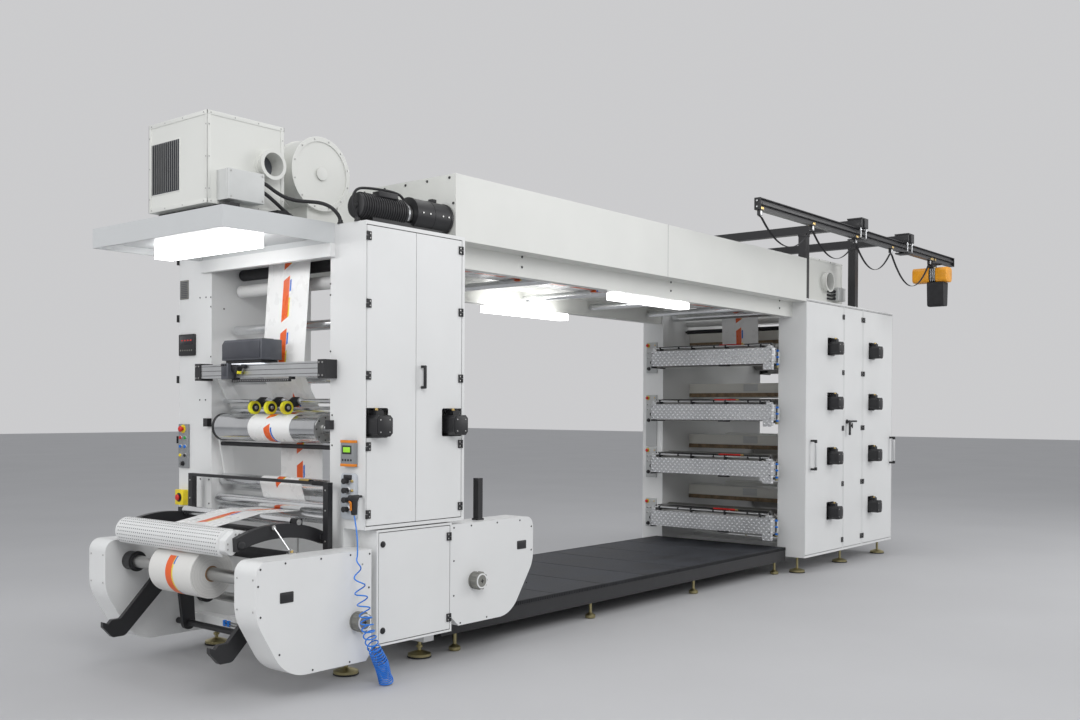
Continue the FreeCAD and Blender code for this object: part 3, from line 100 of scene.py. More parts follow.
class Shape:
    """A mesh that is put together in the machine's millimetres, each part with its own material."""

    def __init__(self):
        self.mesh = bmesh.new()
        self.materials = []

    def _take(self, part, material, bevel=0.0, segments=2):
        if bevel:
            edges = [e for e in part.edges if e.calc_face_angle(0.0) > 0.6]
            bmesh.ops.bevel(part, geom=edges, offset=bevel / 1000.0, segments=segments, profile=0.5,
                            affect="EDGES", clamp_overlap=True)
        if material not in self.materials:
            self.materials.append(material)
        for face in part.faces:
            face.material_index = self.materials.index(material)
        held = bpy.data.meshes.new("part")
        part.to_mesh(held)
        part.free()
        self.mesh.from_mesh(held)
        bpy.data.meshes.remove(held)
        return self

    def box(self, x, y, z, material, bevel=1.0, segments=2):
        """A block over the ranges x, y and z, with rounded edges."""
        part = bmesh.new()
        bmesh.ops.create_cube(part, size=1.0)
        low = mm(min(x), min(y), min(z))
        high = mm(max(x), max(y), max(z))
        for v in part.verts:
            v.co = (low + high) / 2 + Vector(a * b for a, b in zip(v.co, high - low))
        return self._take(part, material, bevel, segments)

    def lathe(self, centre, axis, profile, material, sides=48, closed=False):
        """A turned part: profile holds (distance along axis, radius), from one end to the other."""
        part = bmesh.new()
        direction = Vector(axis).normalized()
        side = direction.orthogonal().normalized()
        other = direction.cross(side)
        base = mm(*centre)
        rings = []
        for along, radius in profile:
            middle = base + direction * along / 1000.0
            if radius <= 0:
                rings.append([part.verts.new(middle)])
                continue
            ring = []
            for i in range(sides):
                turn = 2 * math.pi * i / sides
                ring.append(part.verts.new(
                    middle + (side * math.cos(turn) + other * math.sin(turn)) * radius / 1000.0))
            rings.append(ring)
        for a, b in zip(rings, rings[1:] + rings[:1] if closed else rings[1:]):
            for i in range(sides):
                j = (i + 1) % sides
                if len(a) == 1 and len(b) == 1:
                    continue
                if len(a) == 1:
                    part.faces.new((a[0], b[i], b[j]))
                elif len(b) == 1:
                    part.faces.new((a[i], b[0], a[j]))
                else:
                    part.faces.new((a[i], b[i], b[j], a[j]))
        for ring, flip in ((rings[0], True), (rings[-1], False)):
            if len(ring) > 1 and not closed:
                part.faces.new(ring if flip else list(reversed(ring)))
        bmesh.ops.recalc_face_normals(part, faces=part.faces)
        return self._take(part, material)

    def ring(self, centre, axis, outer, inner, depth, material, sides=48):
        """A flat ring or a short sleeve, with its depth along the axis."""
        profile = [(0, inner), (0, outer - 1), (1, outer), (depth - 1, outer), (depth, outer - 1),
                   (depth, inner)]
        return self.lathe(centre, axis, profile, material, sides, True)

    def disc(self, centre, axis, radius, rise, material, sides=24):
        """A flat round part with a small bevel on its outer edge."""
        profile = [(0, radius), (rise - 1, radius), (rise, radius - 2)]
        return self.lathe(centre, axis, profile, material, sides)

    def rod(self, start, end, radius, material, sides=24, edge=1.0):
        """A round bar between two points, with its ends rounded over."""
        a, b = Vector(start), Vector(end)
        length = (b - a).length
        edge = min(edge, radius * 0.5, length * 0.25)
        profile = [(0, radius - edge), (edge, radius), (length - edge, radius), (length, radius - edge)]
        return self.lathe(start, b - a, profile, material, sides)

    def plate(self, outline, plane, low, high, material, bevel=1.0):
        """A flat part with its outline in the plane xz or yz, between low and high across it."""
        place = {"xz": lambda u, v, w: mm(u, w, v), "yz": lambda u, v, w: mm(w, u, v)}[plane]
        part = bmesh.new()
        below = [part.verts.new(place(u, v, low)) for u, v in outline]
        above = [part.verts.new(place(u, v, high)) for u, v in outline]
        part.faces.new(below)
        part.faces.new(list(reversed(above)))
        for i in range(len(outline)):
            j = (i + 1) % len(outline)
            part.faces.new((below[i], above[i], above[j], below[j]))
        bmesh.ops.recalc_face_normals(part, faces=part.faces)
        return self._take(part, material, bevel)

    def tube(self, points, radius, material, sides=12, flat=1.0, placed=False, up=None):
        """A bent pipe or wire along points; flat widens it across the way up. Placed points are in metres."""
        part = bmesh.new()
        line = points if placed else [mm(*p) for p in points]
        rings = []
        up = Vector(up) if up else None
        for i, p in enumerate(line):
            ahead = (line[min(i + 1, len(line) - 1)] - line[max(i - 1, 0)]).normalized()
            up = ahead.orthogonal().normalized() if up is None else (up - ahead * up.dot(ahead)).normalized()
            side = ahead.cross(up)
            rings.append([part.verts.new(p + (up * math.cos(t) + side * math.sin(t) * flat) * radius / 1000.0)
                          for t in (2 * math.pi * k / sides for k in range(sides))])
        for a, b in zip(rings, rings[1:]):
            for k in range(sides):
                part.faces.new((a[k], b[k], b[(k + 1) % sides], a[(k + 1) % sides]))
        part.faces.new(rings[0])
        part.faces.new(list(reversed(rings[-1])))
        bmesh.ops.recalc_face_normals(part, faces=part.faces)
        return self._take(part, material)

    def finish(self, name, body=PRESS):
        """The object of this shape, riding on a body."""
        data = bpy.data.meshes.new(name)
        self.mesh.to_mesh(data)
        self.mesh.free()
        for key in self.materials:
            data.materials.append(materials()[key])
        data.shade_smooth()
        data.set_sharp_from_angle(angle=SMOOTH)
        made = bpy.data.objects.new(name, data)
        bpy.context.scene.collection.objects.link(made)
        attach(made, body)
        return made


def rounded_outline(u0, u1, v0, v1, radius, steps=5):
    """Corners of a rectangle rounded over by radius."""
    points = []
    for cu, cv, start in ((u1 - radius, v1 - radius, 0), (u0 + radius, v1 - radius, 90),
                          (u0 + radius, v0 + radius, 180), (u1 - radius, v0 + radius, 270)):
        for i in range(steps + 1):
            turn = math.radians(start + 90 * i / steps)
            points.append((cu + radius * math.cos(turn), cv + radius * math.sin(turn)))
    return points


def grid(xs, ys, zs, way):
    """Spots at every crossing of some X, Y and Z, all facing one way."""
    return [(x, y, z, way) for x in xs for y in ys for z in zs]


def ring_points(u, v, radius, count, phase=0.0):
    """Points spread evenly round a circle."""
    turns = (2 * math.pi * (k + phase) / count for k in range(count))
    return [(u + radius * math.cos(turn), v + radius * math.sin(turn)) for turn in turns]


def add_node(tree, kind, settings=None, sockets=None):
    """A node with its settings, a ramp's stops among them, and a value or a link for each socket."""
    made = tree.nodes.new(kind)
    for key, value in (settings or {}).items():
        if key == "stops":
            ramp = made.color_ramp
            while len(ramp.elements) < len(value):
                ramp.elements.new(0.5)
            for element, (at, colour) in zip(ramp.elements, value):
                element.position = at
                element.color = colour
        else:
            setattr(made, key, value)
    for key, value in (sockets or {}).items():
        plug(tree, made.inputs[key], value)
    return made


def plug(tree, socket, value):
    """Links a socket to a Value or to a node's output, or sets it to a constant."""
    if isinstance(value, Value):
        value = value.socket
    if isinstance(value, bpy.types.NodeSocket):
        tree.links.new(value, socket)
    else:
        socket.default_value = value


def maths(operation, swapped=False):
    """A method of Value that adds one Math node."""
    def method(self, other):
        pair = (other, self) if swapped else (self, other)
        return self.shader.node("ShaderNodeMath", {"operation": operation}, {0: pair[0], 1: pair[1]})
    return method


class Value:
    """A socket in a shader, so that sums on it read as sums."""

    def __init__(self, shader, socket):
        self.shader = shader
        self.socket = socket

    __add__ = maths("ADD")
    __sub__ = maths("SUBTRACT")
    __mul__ = maths("MULTIPLY")
    __truediv__ = maths("DIVIDE")
    __mod__ = maths("FLOORED_MODULO")
    __lt__ = maths("LESS_THAN")
    __gt__ = maths("GREATER_THAN")
    __radd__ = maths("ADD", True)
    __rsub__ = maths("SUBTRACT", True)
    __rmul__ = maths("MULTIPLY", True)

    def __abs__(self):
        return self.shader.node("ShaderNodeMath", {"operation": "ABSOLUTE"}, {0: self})

    def clamp(self):
        return self.shader.node("ShaderNodeMath", {"operation": "ADD", "use_clamp": True}, {0: self, 1: 0.0})


class Finish:
    """One procedural material, built from Object coordinates in metres."""

    def __init__(self, name):
        self.material = bpy.data.materials.new(name)
        self.material.use_nodes = True
        self.tree = self.material.node_tree
        self.tree.nodes.clear()
        self.surface = add_node(self.tree, "ShaderNodeBsdfPrincipled")
        add_node(self.tree, "ShaderNodeOutputMaterial", None, {"Surface": self.surface.outputs["BSDF"]})
        self.place = self.node("ShaderNodeTexCoord", out="Object")

    def node(self, kind, settings=None, sockets=None, out=0):
        """A node with its settings and sockets, as the Value of one of its outputs."""
        return Value(self, add_node(self.tree, kind, settings, sockets).outputs[out])

    def noise(self, scale, detail=3.0, stretch=(1, 1, 1), roughness=0.5):
        """Noise over the place, finer along an axis with a larger stretch."""
        spot = self.place
        if stretch != (1, 1, 1):
            spot = self.node("ShaderNodeMapping", None, {"Vector": self.place, "Scale": stretch})
        return self.node("ShaderNodeTexNoise", None,
                         {"Vector": spot, "Scale": scale, "Detail": detail, "Roughness": roughness}, "Fac")

    def axes(self):
        """The X, Y and Z of the place, as three Values."""
        parts = add_node(self.tree, "ShaderNodeSeparateXYZ", None, {0: self.place})
        return [Value(self, socket) for socket in parts.outputs]

    def mix(self, factor, first, second):
        """One colour where factor is 0 and another where it is 1."""
        return self.node("ShaderNodeMix", {"data_type": "RGBA"}, {0: factor, 6: first, 7: second}, 2)

    def shade(self, value, low, high, spread=0.5):
        """A colour that runs from low to high as value runs round 0.5."""
        stops = [(0.5 - spread / 2, low), (0.5 + spread / 2, high)]
        return self.node("ShaderNodeValToRGB", {"stops": stops}, {"Fac": value}, "Color")

    def bump(self, height, distance, strength):
        """Relief from a height, in metres."""
        sockets = {"Height": height, "Distance": distance, "Strength": strength}
        return self.set(Normal=self.node("ShaderNodeBump", None, sockets, "Normal"))

    def set(self, **sockets):
        """Gives the surface's sockets a constant or a Value."""
        for key, value in sockets.items():
            plug(self.tree, self.surface.inputs[key.replace("_", " ")], value)
        return self


def tint(colour, factor):
    """A colour made lighter or darker, with alpha."""
    return tuple(min(1.0, c * factor) for c in colour[:3]) + (1.0,)


def painted(name, colour, roughness=0.38):
    """Sprayed and baked paint: fine orange peel, a little unevenness in colour and sheen."""
    finish = Finish(name)
    cloud = finish.noise(2.2, 4.0)
    dust = finish.noise(9.0, 6.0, (1, 1, 0.35))
    base = finish.shade(cloud, tint(colour, 0.965), tint(colour, 1.02))
    finish.set(Base_Color=base, Roughness=roughness + (dust - 0.5) * 0.12, Specular_IOR_Level=0.45,
               Coat_Weight=0.15, Coat_Roughness=0.25)
    return finish.bump(finish.noise(650.0, 2.0), 0.00006, 0.5).material


def moulded(name, colour, roughness, vary=0.15):
    """Moulded plastic with a fine spark-eroded grain."""
    finish = Finish(name)
    cloud = finish.noise(14.0, 3.0)
    finish.set(Base_Color=finish.shade(cloud, tint(colour, 1 - vary), tint(colour, 1 + vary)),
               Roughness=roughness + (cloud - 0.5) * 0.14)
    return finish.bump(finish.noise(1100.0, 2.0), 0.0001, 0.5).material


def turned(name, colour, roughness, stretch=(1, 60, 1)):
    """Metal finished on a lathe or grinder: fine marks round the part and a patchy sheen."""
    finish = Finish(name)
    marks = finish.noise(30.0, 4.0, stretch)
    haze = finish.noise(5.0, 4.0)
    finish.set(Base_Color=finish.shade(haze, tint(colour, 0.88), tint(colour, 1.06)), Metallic=1.0,
               Roughness=roughness + (marks - 0.5) * 0.16 + (haze - 0.5) * 0.08)
    return finish.bump(marks, 0.00003, 0.6).material


def rubbery(name, colour, roughness=0.7):
    """Rubber or other dull stuff: worn lighter in patches, with a fine grain."""
    finish = Finish(name)
    worn = finish.noise(18.0, 6.0)
    finish.set(Base_Color=finish.shade(worn, tint(colour, 0.75), tint(colour, 1.5), 0.35),
               Roughness=roughness + (worn - 0.5) * 0.2)
    return finish.bump(finish.noise(420.0, 3.0), 0.0002, 0.6).material


def printed_film(name, paper, orange, yellow, blue):
    """White film with one printed stripe: blocks of colour with a mark on each side."""
    finish = Finish(name)
    x, y, z = finish.axes()
    run = x * 0.93 + z
    side = y - STRIPE
    beat = (run + side * 0.55) % 0.36
    stripe = abs(side - 0.012) < 0.031
    block = beat < 0.285
    slant = abs(side + 0.024 + beat * 0.02) < 0.006
    dash = beat < 0.13
    fleck = abs(side + 0.030) < 0.008
    base = finish.shade(finish.noise(6.0, 3.0), tint(paper, 0.97), tint(paper, 1.02))
    base = finish.mix(stripe * block, base, tint(orange, 1.0))
    base = finish.mix(slant * dash, base, tint(yellow, 1.0))
    base = finish.mix(fleck * (beat > 0.17) * (beat < 0.25), base, tint(blue, 1.0))
    finish.set(Base_Color=base, Roughness=0.28 + (finish.noise(12.0) - 0.5) * 0.1, Specular_IOR_Level=0.5)
    return finish.bump(finish.noise(7.0, 2.0, (1, 0.25, 1)), 0.0002, 0.3).material


def wound_film(name, paper, orange, yellow, blue):
    """A roll of the same film: the stripe runs round it, and its ends show the turns."""
    finish = Finish(name)
    x, y, z = finish.axes()
    side = y - STRIPE
    centre = mm(ROLL[0], 0, ROLL[1])
    dx, dz = x - centre.x, z - centre.z
    radius = finish.node("ShaderNodeMath", {"operation": "SQRT"}, {0: dx * dx + dz * dz})
    turn = finish.node("ShaderNodeMath", {"operation": "ARCTAN2"}, {0: dz, 1: dx}) / (2 * math.pi)
    turned_on = turn + 1.12
    block = (turned_on % 0.5) < 0.42
    rim = radius > 0.1395
    layers = finish.node("ShaderNodeTexNoise", {"noise_dimensions": "1D"},
                         {"W": radius * 420.0, "Scale": 1.0, "Detail": 3.0}, "Fac")
    base = finish.shade(layers, tint(paper, 0.6), tint(paper, 1.04), 0.5)
    base = finish.mix(rim * (abs(side - 0.012) < 0.031) * block, base, tint(orange, 1.0))
    base = finish.mix(rim * (abs(side + 0.026) < 0.006) * block, base, tint(yellow, 1.0))
    base = finish.mix(rim * (abs(side + 0.032) < 0.006) * ((turned_on % 0.25) < 0.06), base, tint(blue, 1.0))
    core = radius < 0.046
    base = finish.mix(core, base, (0.33, 0.2, 0.11, 1.0))
    finish.set(Base_Color=base, Roughness=0.36)
    return finish.bump(layers, 0.0003, 0.5).material


def tread(name, colour):
    """Pressed pattern plate: rows of raised lozenges that lean one way and the other."""
    finish = Finish(name)
    _, y, z = finish.axes()
    pitch = 0.054
    row = (z / (pitch / 2)) % 2.0
    odd = row > 1.0
    u = ((y + odd * pitch / 2) % pitch) / pitch - 0.5
    v = (row % 1.0) - 0.5
    lean = odd * 2.0 - 1.0
    across = u + v * lean * 0.45
    along = v - u * lean * 0.45
    lozenge = (1.25 - (abs(across) * 4.6 + abs(along) * 2.3)).clamp()
    raised = (lozenge * 2.6).clamp()
    haze = finish.noise(2.4, 4.0)
    # Painted highlight and shade: the raised lozenges are painted lighter and the ground between them darker,
    # as light falls on the relief
    ground = finish.shade(haze, tint(colour, 0.62), tint(colour, 0.86))
    finish.set(Base_Color=finish.mix(raised, ground, tint(colour, 1.3)), Metallic=0.5,
               Roughness=0.42 - raised * 0.12 + (haze - 0.5) * 0.12)
    return finish.bump(lozenge, 0.004, 0.9).material


def ribbed_mat(name, colour):
    """Rubber matting with fine ribs along the walkway and trodden patches."""
    finish = Finish(name)
    rib = abs(((finish.axes()[1] / 0.012) % 1.0) - 0.5) * 2.0
    worn = finish.noise(3.0, 7.0, (1, 1.6, 1), 0.65)
    finish.set(Base_Color=finish.shade(worn, tint(colour, 0.5), tint(colour, 2.6), 0.4),
               Roughness=0.62 + (worn - 0.5) * 0.3)
    return finish.bump(rib + finish.noise(160.0, 3.0) * 0.6, 0.0016, 0.8).material


def glowing(name, colour, strength):
    """The cover of a lamp or a lit display."""
    finish = Finish(name)
    finish.set(Base_Color=tint(colour, 1.0), Emission_Color=tint(colour, 1.0), Emission_Strength=strength,
               Roughness=0.3)
    return finish.material


class PressColours(bpy.types.PropertyGroup):
    white: bpy.props.FloatVectorProperty(
        name="White paint", description="Paint of the frames, cabinets and doors", subtype="COLOR", size=3,
        default=(0.80, 0.805, 0.80), min=0.0, max=1.0)
    silver: bpy.props.FloatVectorProperty(
        name="Silver paint", description="Paint of the canopy's edge", subtype="COLOR", size=3,
        default=(0.62, 0.635, 0.64), min=0.0, max=1.0)
    warm: bpy.props.FloatVectorProperty(
        name="Warm white paint", description="Paint of the bridge, the hood and the blower", subtype="COLOR",
        size=3, default=(0.76, 0.765, 0.73), min=0.0, max=1.0)
    black: bpy.props.FloatVectorProperty(
        name="Black", description="Black paint, plastic and rubber", subtype="COLOR", size=3,
        default=(0.018, 0.018, 0.02), min=0.0, max=1.0)
    orange: bpy.props.FloatVectorProperty(
        name="Orange ink", description="Blocks printed on the film", subtype="COLOR", size=3,
        default=(0.85, 0.13, 0.02), min=0.0, max=1.0)
    yellow: bpy.props.FloatVectorProperty(
        name="Yellow", description="Press wheel rims and the edge mark", subtype="COLOR", size=3,
        default=(0.87, 0.68, 0.02), min=0.0, max=1.0)
    blue: bpy.props.FloatVectorProperty(
        name="Blue", description="Blue buttons and the film's small mark", subtype="COLOR", size=3,
        default=(0.01, 0.16, 0.62), min=0.0, max=1.0)


class PressSizes(bpy.types.PropertyGroup):
    screw: bpy.props.FloatProperty(
        name="Screw head", description="Radius of the small black screw heads", unit="LENGTH", default=0.006,
        min=0.002, max=0.02)
    bolt: bpy.props.FloatProperty(
        name="Bolt head", description="Radius of the bolt heads on the bridge and frames", unit="LENGTH",
        default=0.009, min=0.003, max=0.03)
    hole: bpy.props.FloatProperty(
        name="Guard hole", description="Radius of the holes in the roll guard", unit="LENGTH", default=0.004,
        min=0.001, max=0.01)
    lamp: bpy.props.FloatProperty(
        name="Lamp strength", description="Glow of the work lamps' covers", default=4.5, min=0.0, max=10.0)


MATERIALS = {}


def materials():
    """The finishes, made once."""
    if MATERIALS:
        return MATERIALS
    c = bpy.context.scene.press_colours
    s = bpy.context.scene.press_sizes
    MATERIALS.update(
        white=painted("white_enamel", c.white),
        warm=painted("warm_white_enamel", c.warm),
        silver=painted("silver_enamel", c.silver, 0.34),
        black=painted("black_enamel", c.black, 0.42),
        plastic=moulded("black_plastic", c.black, 0.45),
        grey=moulded("grey_plastic", (0.6, 0.61, 0.6), 0.45, 0.03),
        # Dark grey of the camera's housing and the vent slats, and also painted shade: the sheet behind the
        # hood's louvre and the discs inside the ducts
        dark_grey=moulded("dark_grey_housing_and_opening_shade", (0.09, 0.095, 0.11), 0.4),
        knob=moulded("knob_grey", (0.22, 0.22, 0.2), 0.5),
        red=moulded("red_button", (0.62, 0.02, 0.015), 0.35),
        orange=moulded("orange_cover", (0.8, 0.24, 0.01), 0.4),
        yellow=moulded("yellow_plastic", c.yellow, 0.4),
        green=glowing("green_display", (0.25, 0.55, 0.03), 0.5),
        blue=moulded("blue_plastic", c.blue, 0.35),
        wheel=rubbery("yellow_tread", c.yellow, 0.5),
        rubber=rubbery("black_rubber", c.black),
        mat=ribbed_mat("walkway_matting", (0.017, 0.019, 0.024)),
        chrome=turned("hard_chrome", (0.8, 0.81, 0.82), 0.24),
        steel=turned("ground_steel", (0.5, 0.5, 0.49), 0.34),
        drum=turned("draw_drum_chrome", (0.66, 0.67, 0.68), 0.2),
        aluminium=turned("drawn_aluminium", (0.66, 0.67, 0.68), 0.36, (60, 1, 60)),
        zinc=turned("yellow_zinc", (0.42, 0.37, 0.2), 0.4),
        brass=turned("brass", (0.72, 0.52, 0.2), 0.3),
        anilox=turned("engraved_roller", (0.36, 0.35, 0.34), 0.42),
        tread=tread("pattern_plate", (0.74, 0.75, 0.77)),
        film=printed_film("printed_film", (0.9, 0.9, 0.89), c.orange, c.yellow, c.blue),
        wound=wound_film("wound_film", (0.88, 0.87, 0.84), c.orange, c.yellow, c.blue),
        lamp=glowing("lamp_cover", (1.0, 1.0, 1.0), s.lamp),
        brown=rubbery("brown_underside", (0.2, 0.14, 0.08), 0.6),
        # Dark of the roll guard's holes, painted shade seen through them; it also darkens the walkway's seams
        hole=rubbery("dark_hole", (0.035, 0.035, 0.037), 0.9),
        hoist=moulded("hoist_yellow", (0.86, 0.36, 0.012), 0.35),
        cream=painted("cream_dryer", (0.84, 0.83, 0.77), 0.45),
        hose=moulded("blue_hose", (0.02, 0.2, 0.72), 0.3),
        screen=moulded("dark_screen", (0.03, 0.03, 0.035), 0.15),
        panel=painted("panel_grey", (0.5, 0.51, 0.51), 0.4),
        panel_dark=painted("panel_dark_grey", (0.27, 0.28, 0.29), 0.4),
        panel_blue=painted("panel_blue_grey", (0.55, 0.58, 0.62), 0.4),
        box_grey=moulded("box_grey", (0.64, 0.65, 0.64), 0.4, 0.03),
        green_button=moulded("green_button", (0.02, 0.35, 0.06), 0.35),
        louvre=painted("louvre_grey", (0.36, 0.36, 0.34), 0.4),
        knob_dark=moulded("camera_front", (0.055, 0.058, 0.07), 0.35),
        seam=rubbery("seam_shadow", (0.12, 0.12, 0.12), 0.8),
        white_cover=painted("white_roller_cover", (0.74, 0.74, 0.73), 0.45),
        lamp_dim=glowing("inspection_light", (0.9, 0.93, 1.0), 1.2),
        dark_rail=painted("dark_rail", (0.035, 0.035, 0.038), 0.35),
    )
    return MATERIALS


NODE_FINISH = {
    "white": ("tower_frame_near", "tower_frame_far", "tower_cabinet_near", "tower_door_left",
              "tower_door_right", "tower_cabinet_far", "lower_cabinet_near", "lower_door", "cheeks_near",
              "cheeks_far", "base_beams", "roll_guard", "tower_roof", "stack_cabinet_near", "stack_door_left",
              "stack_door_centre", "stack_door_right", "stack_cabinet_far", "stack_frame"),
    "warm": ("bridge_housing", "bridge_beams", "hood_box", "blower", "stack_fan_box", "dryer_hoods"),
    "silver": ("canopy",),
    "black": ("shaft_chucks", "lift_arms", "layon_arms", "guard_gate", "hood_channels", "walkway_frame",
              "gantry", "deck_brackets", "tower_brackets"),
    "plastic": ("drive_motors", "roof_motor", "tower_pull", "control_panels"),
    "grey": ("junction_boxes",),
    "dark_grey": ("inspection_camera",),
    "chrome": ("guide_rollers",),
    "steel": ("winding_shaft", "plate_cylinders"),
    "drum": ("draw_drum",),
    "anilox": ("metal_cylinders",),
    "rubber": ("rubber_rollers", "chain_bag", "festoon_cables"),
    "blue": ("air_hose",),
    "wheel": ("press_wheels",),
    "aluminium": ("inspection_rail",),
    "zinc": ("levelling_feet",),
    "tread": ("deck_guards",),
    "film": ("web",),
    "wound": ("paper_roll",),
    "lamp": ("luminaires",),
    "mat": ("walkway_deck",),
    "orange": ("hoist",),
    "dark_rail": ("hoist_rail",),
}


class Growth:
    """A geometry nodes tree with named inputs, which ends in Realize Instances and Set Material."""

    def __init__(self, name, inputs):
        self.tree = bpy.data.node_groups.new(name, "GeometryNodeTree")
        sockets = (("Geometry", "Geometry"), *inputs, ("Material", "Material"))
        for label, kind in sockets:
            self.tree.interface.new_socket(label, in_out="INPUT", socket_type="NodeSocket" + kind)
        self.tree.interface.new_socket("Geometry", in_out="OUTPUT", socket_type="NodeSocketGeometry")
        self.given = self.node("NodeGroupInput")

    def node(self, kind, settings=None, sockets=None):
        """The outputs of a new node."""
        return add_node(self.tree, kind, settings, sockets).outputs

    def finish(self, points, instance, rotation):
        """Puts the instance on every point and gives the result its material."""
        spread = self.node("GeometryNodeInstanceOnPoints", None,
                           {"Points": points, "Instance": instance, "Rotation": rotation})
        real = self.node("GeometryNodeRealizeInstances", None, {"Geometry": spread["Instances"]})
        paint = self.node("GeometryNodeSetMaterial", None,
                          {"Geometry": real["Geometry"], "Material": self.given["Material"]})
        self.node("NodeGroupOutput", None, {"Geometry": paint["Geometry"]})
        return self.tree


def studs_tree(sides):
    """Geometry nodes: a small turned head on every point of a mesh, standing along its 'lie' vector."""
    tree = Growth("stud_heads_%d" % sides, (("Radius", "Float"), ("Rise", "Float"), ("Taper", "Float")))
    given = tree.given
    top = tree.node("ShaderNodeMath", {"operation": "MULTIPLY"}, {0: given["Radius"], 1: given["Taper"]})
    head = tree.node("GeometryNodeMeshCone", None, {
        "Vertices": sides, "Radius Bottom": given["Radius"], "Radius Top": top[0], "Depth": given["Rise"]})
    lie = tree.node("GeometryNodeInputNamedAttribute", {"data_type": "FLOAT_VECTOR"}, {"Name": "lie"})
    turn = tree.node("FunctionNodeAlignRotationToVector", {"axis": "Z"}, {"Vector": lie["Attribute"]})
    return tree.finish(given["Geometry"], head["Mesh"], turn["Rotation"])


def slats_tree():
    """Geometry nodes: a row of leaning slats between two points."""
    places = [(label, "Vector") for label in ("Start", "End", "Slat", "Lean")]
    tree = Growth("leaning_slats", (("Count", "Int"), *places))
    given = tree.given
    line = tree.node("GeometryNodeMeshLine", {"mode": "END_POINTS"}, {
        "Count": given["Count"], "Start Location": given["Start"], "Offset": given["End"]})
    slat = tree.node("GeometryNodeMeshCube", None, {"Size": given["Slat"]})
    return tree.finish(line["Mesh"], slat["Mesh"], given["Lean"])


def grown(name, data, tree, inputs, body):
    """Runs a geometry nodes tree on a mesh and keeps the result as a plain mesh on a body."""
    made = bpy.data.objects.new(name, data)
    bpy.context.scene.collection.objects.link(made)
    modifier = made.modifiers.new("nodes", "NODES")
    modifier.node_group = tree
    for item in tree.interface.items_tree:
        if item.in_out == "INPUT" and item.name in inputs:
            modifier[item.identifier] = inputs[item.name]
    graph = bpy.context.evaluated_depsgraph_get()
    result = bpy.data.meshes.new_from_object(made.evaluated_get(graph))
    made.modifiers.clear()
    made.data = result
    bpy.data.meshes.remove(data)
    result.name = name
    result.shade_smooth()
    result.set_sharp_from_angle(angle=SMOOTH)
    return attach(made, body)


def studs(name, spots, radius, rise, material, body=PRESS, taper=0.8, sides=12):
    """Heads of screws, bolts or rivets, or small holes, at spots: (x, y, z, way they face)."""
    data = bpy.data.meshes.new(name + "_points")
    facing = [Vector(way).normalized() for *_, way in spots]
    data.from_pydata([mm(x, y, z) + way * rise / 2000.0 for (x, y, z, _), way in zip(spots, facing)], [], [])
    lie = data.attributes.new("lie", "FLOAT_VECTOR", "POINT")
    lie.data.foreach_set("vector", [c for way in facing for c in way])
    inputs = {"Radius": radius, "Rise": rise / 1000.0, "Taper": taper, "Material": materials()[material]}
    tree = bpy.data.node_groups.get("stud_heads_%d" % sides) or studs_tree(sides)
    return grown(name, data, tree, inputs, body)


def slats(name, start, end, count, size, lean, material):
    """A row of like slats from start to end, each of one size and turned by lean."""
    data = bpy.data.meshes.new(name + "_seed")
    data.from_pydata([(0, 0, 0)], [], [])
    inputs = {"Count": count, "Start": tuple(mm(*start)), "End": tuple(mm(*end)),
              "Slat": tuple(s / 1000.0 for s in size), "Lean": lean,
              "Material": materials()[material]}
    return grown(name, data, bpy.data.node_groups.get("leaning_slats") or slats_tree(), inputs, PRESS)


# Cables held all the way: box to roof, box to fan, and over the roof motor
ROOF_CABLES = (
    (11.0, ((-399.7, -478, 2905), (-365, -478, 2905), (-335, -480, 2893), (-290, -487, 2866),
            (-235, -505, 2838), (-180, -540, 2822), (-125, -585, 2820), (-75, -635, 2816), (-32, -676, 2795),
            (-4, -703, 2757), (10, -716, 2724), (10, -716, 2692.3))),
    (11.0, ((-399.7, -478, 2850), (-365, -478, 2850), (-335, -480, 2835), (-280, -482, 2802),
            (-220, -478, 2767), (-160, -463, 2745), (-102, -437, 2736), (-50, -411, 2733),
            (4.7, -392, 2733))),
    (8.0, ((397, -850, 2840.3), (397, -850.5, 2862), (388, -851, 2884), (362, -851, 2901), (320, -851, 2909),
           (262, -851, 2911), (200, -852, 2909), (138, -853, 2906), (80, -855, 2900), (32, -858, 2892),
           (-6, -861, 2868), (-25, -864, 2825), (-25, -867, 2780), (-10, -869, 2748), (6, -870, 2724),
           (6, -870, 2692.3))),
)

DOOR_HINGES = (
    # pin x, side of the door, body of the door, heights
    ("tower_left", 6.5, 1, "tower_left_leaf", TOWER_HINGES),
    ("tower_right", 803.5, -1, "tower_right_leaf", TOWER_HINGES),
    ("lower", 704.5, -1, "lower_leaf", LOW_HINGES),
    ("stack_left", 6534.5, -1, "stack_left_leaf", STACK_HINGES),
    ("stack_centre", 7009.5, -1, "stack_centre_leaf", STACK_HINGES),
    ("stack_right", 7034.5, 1, "stack_right_leaf", STACK_HINGES),
)


class PRESS_OT_finishes(bpy.types.Operator):
    """Give every piece of the frame its paint, metal, rubber or film"""
    bl_idname = "press.finishes"
    bl_label = "Frame finishes"

    def execute(self, context):
        for key, names in NODE_FINISH.items():
            for name in names:
                data = NODES[name].data
                data.materials.clear()
                data.materials.append(materials()[key])
        bare = set(NODES).difference(*NODE_FINISH.values())
        if bare:
            raise RuntimeError("no finish on " + ", ".join(sorted(bare)))
        return {"FINISHED"}


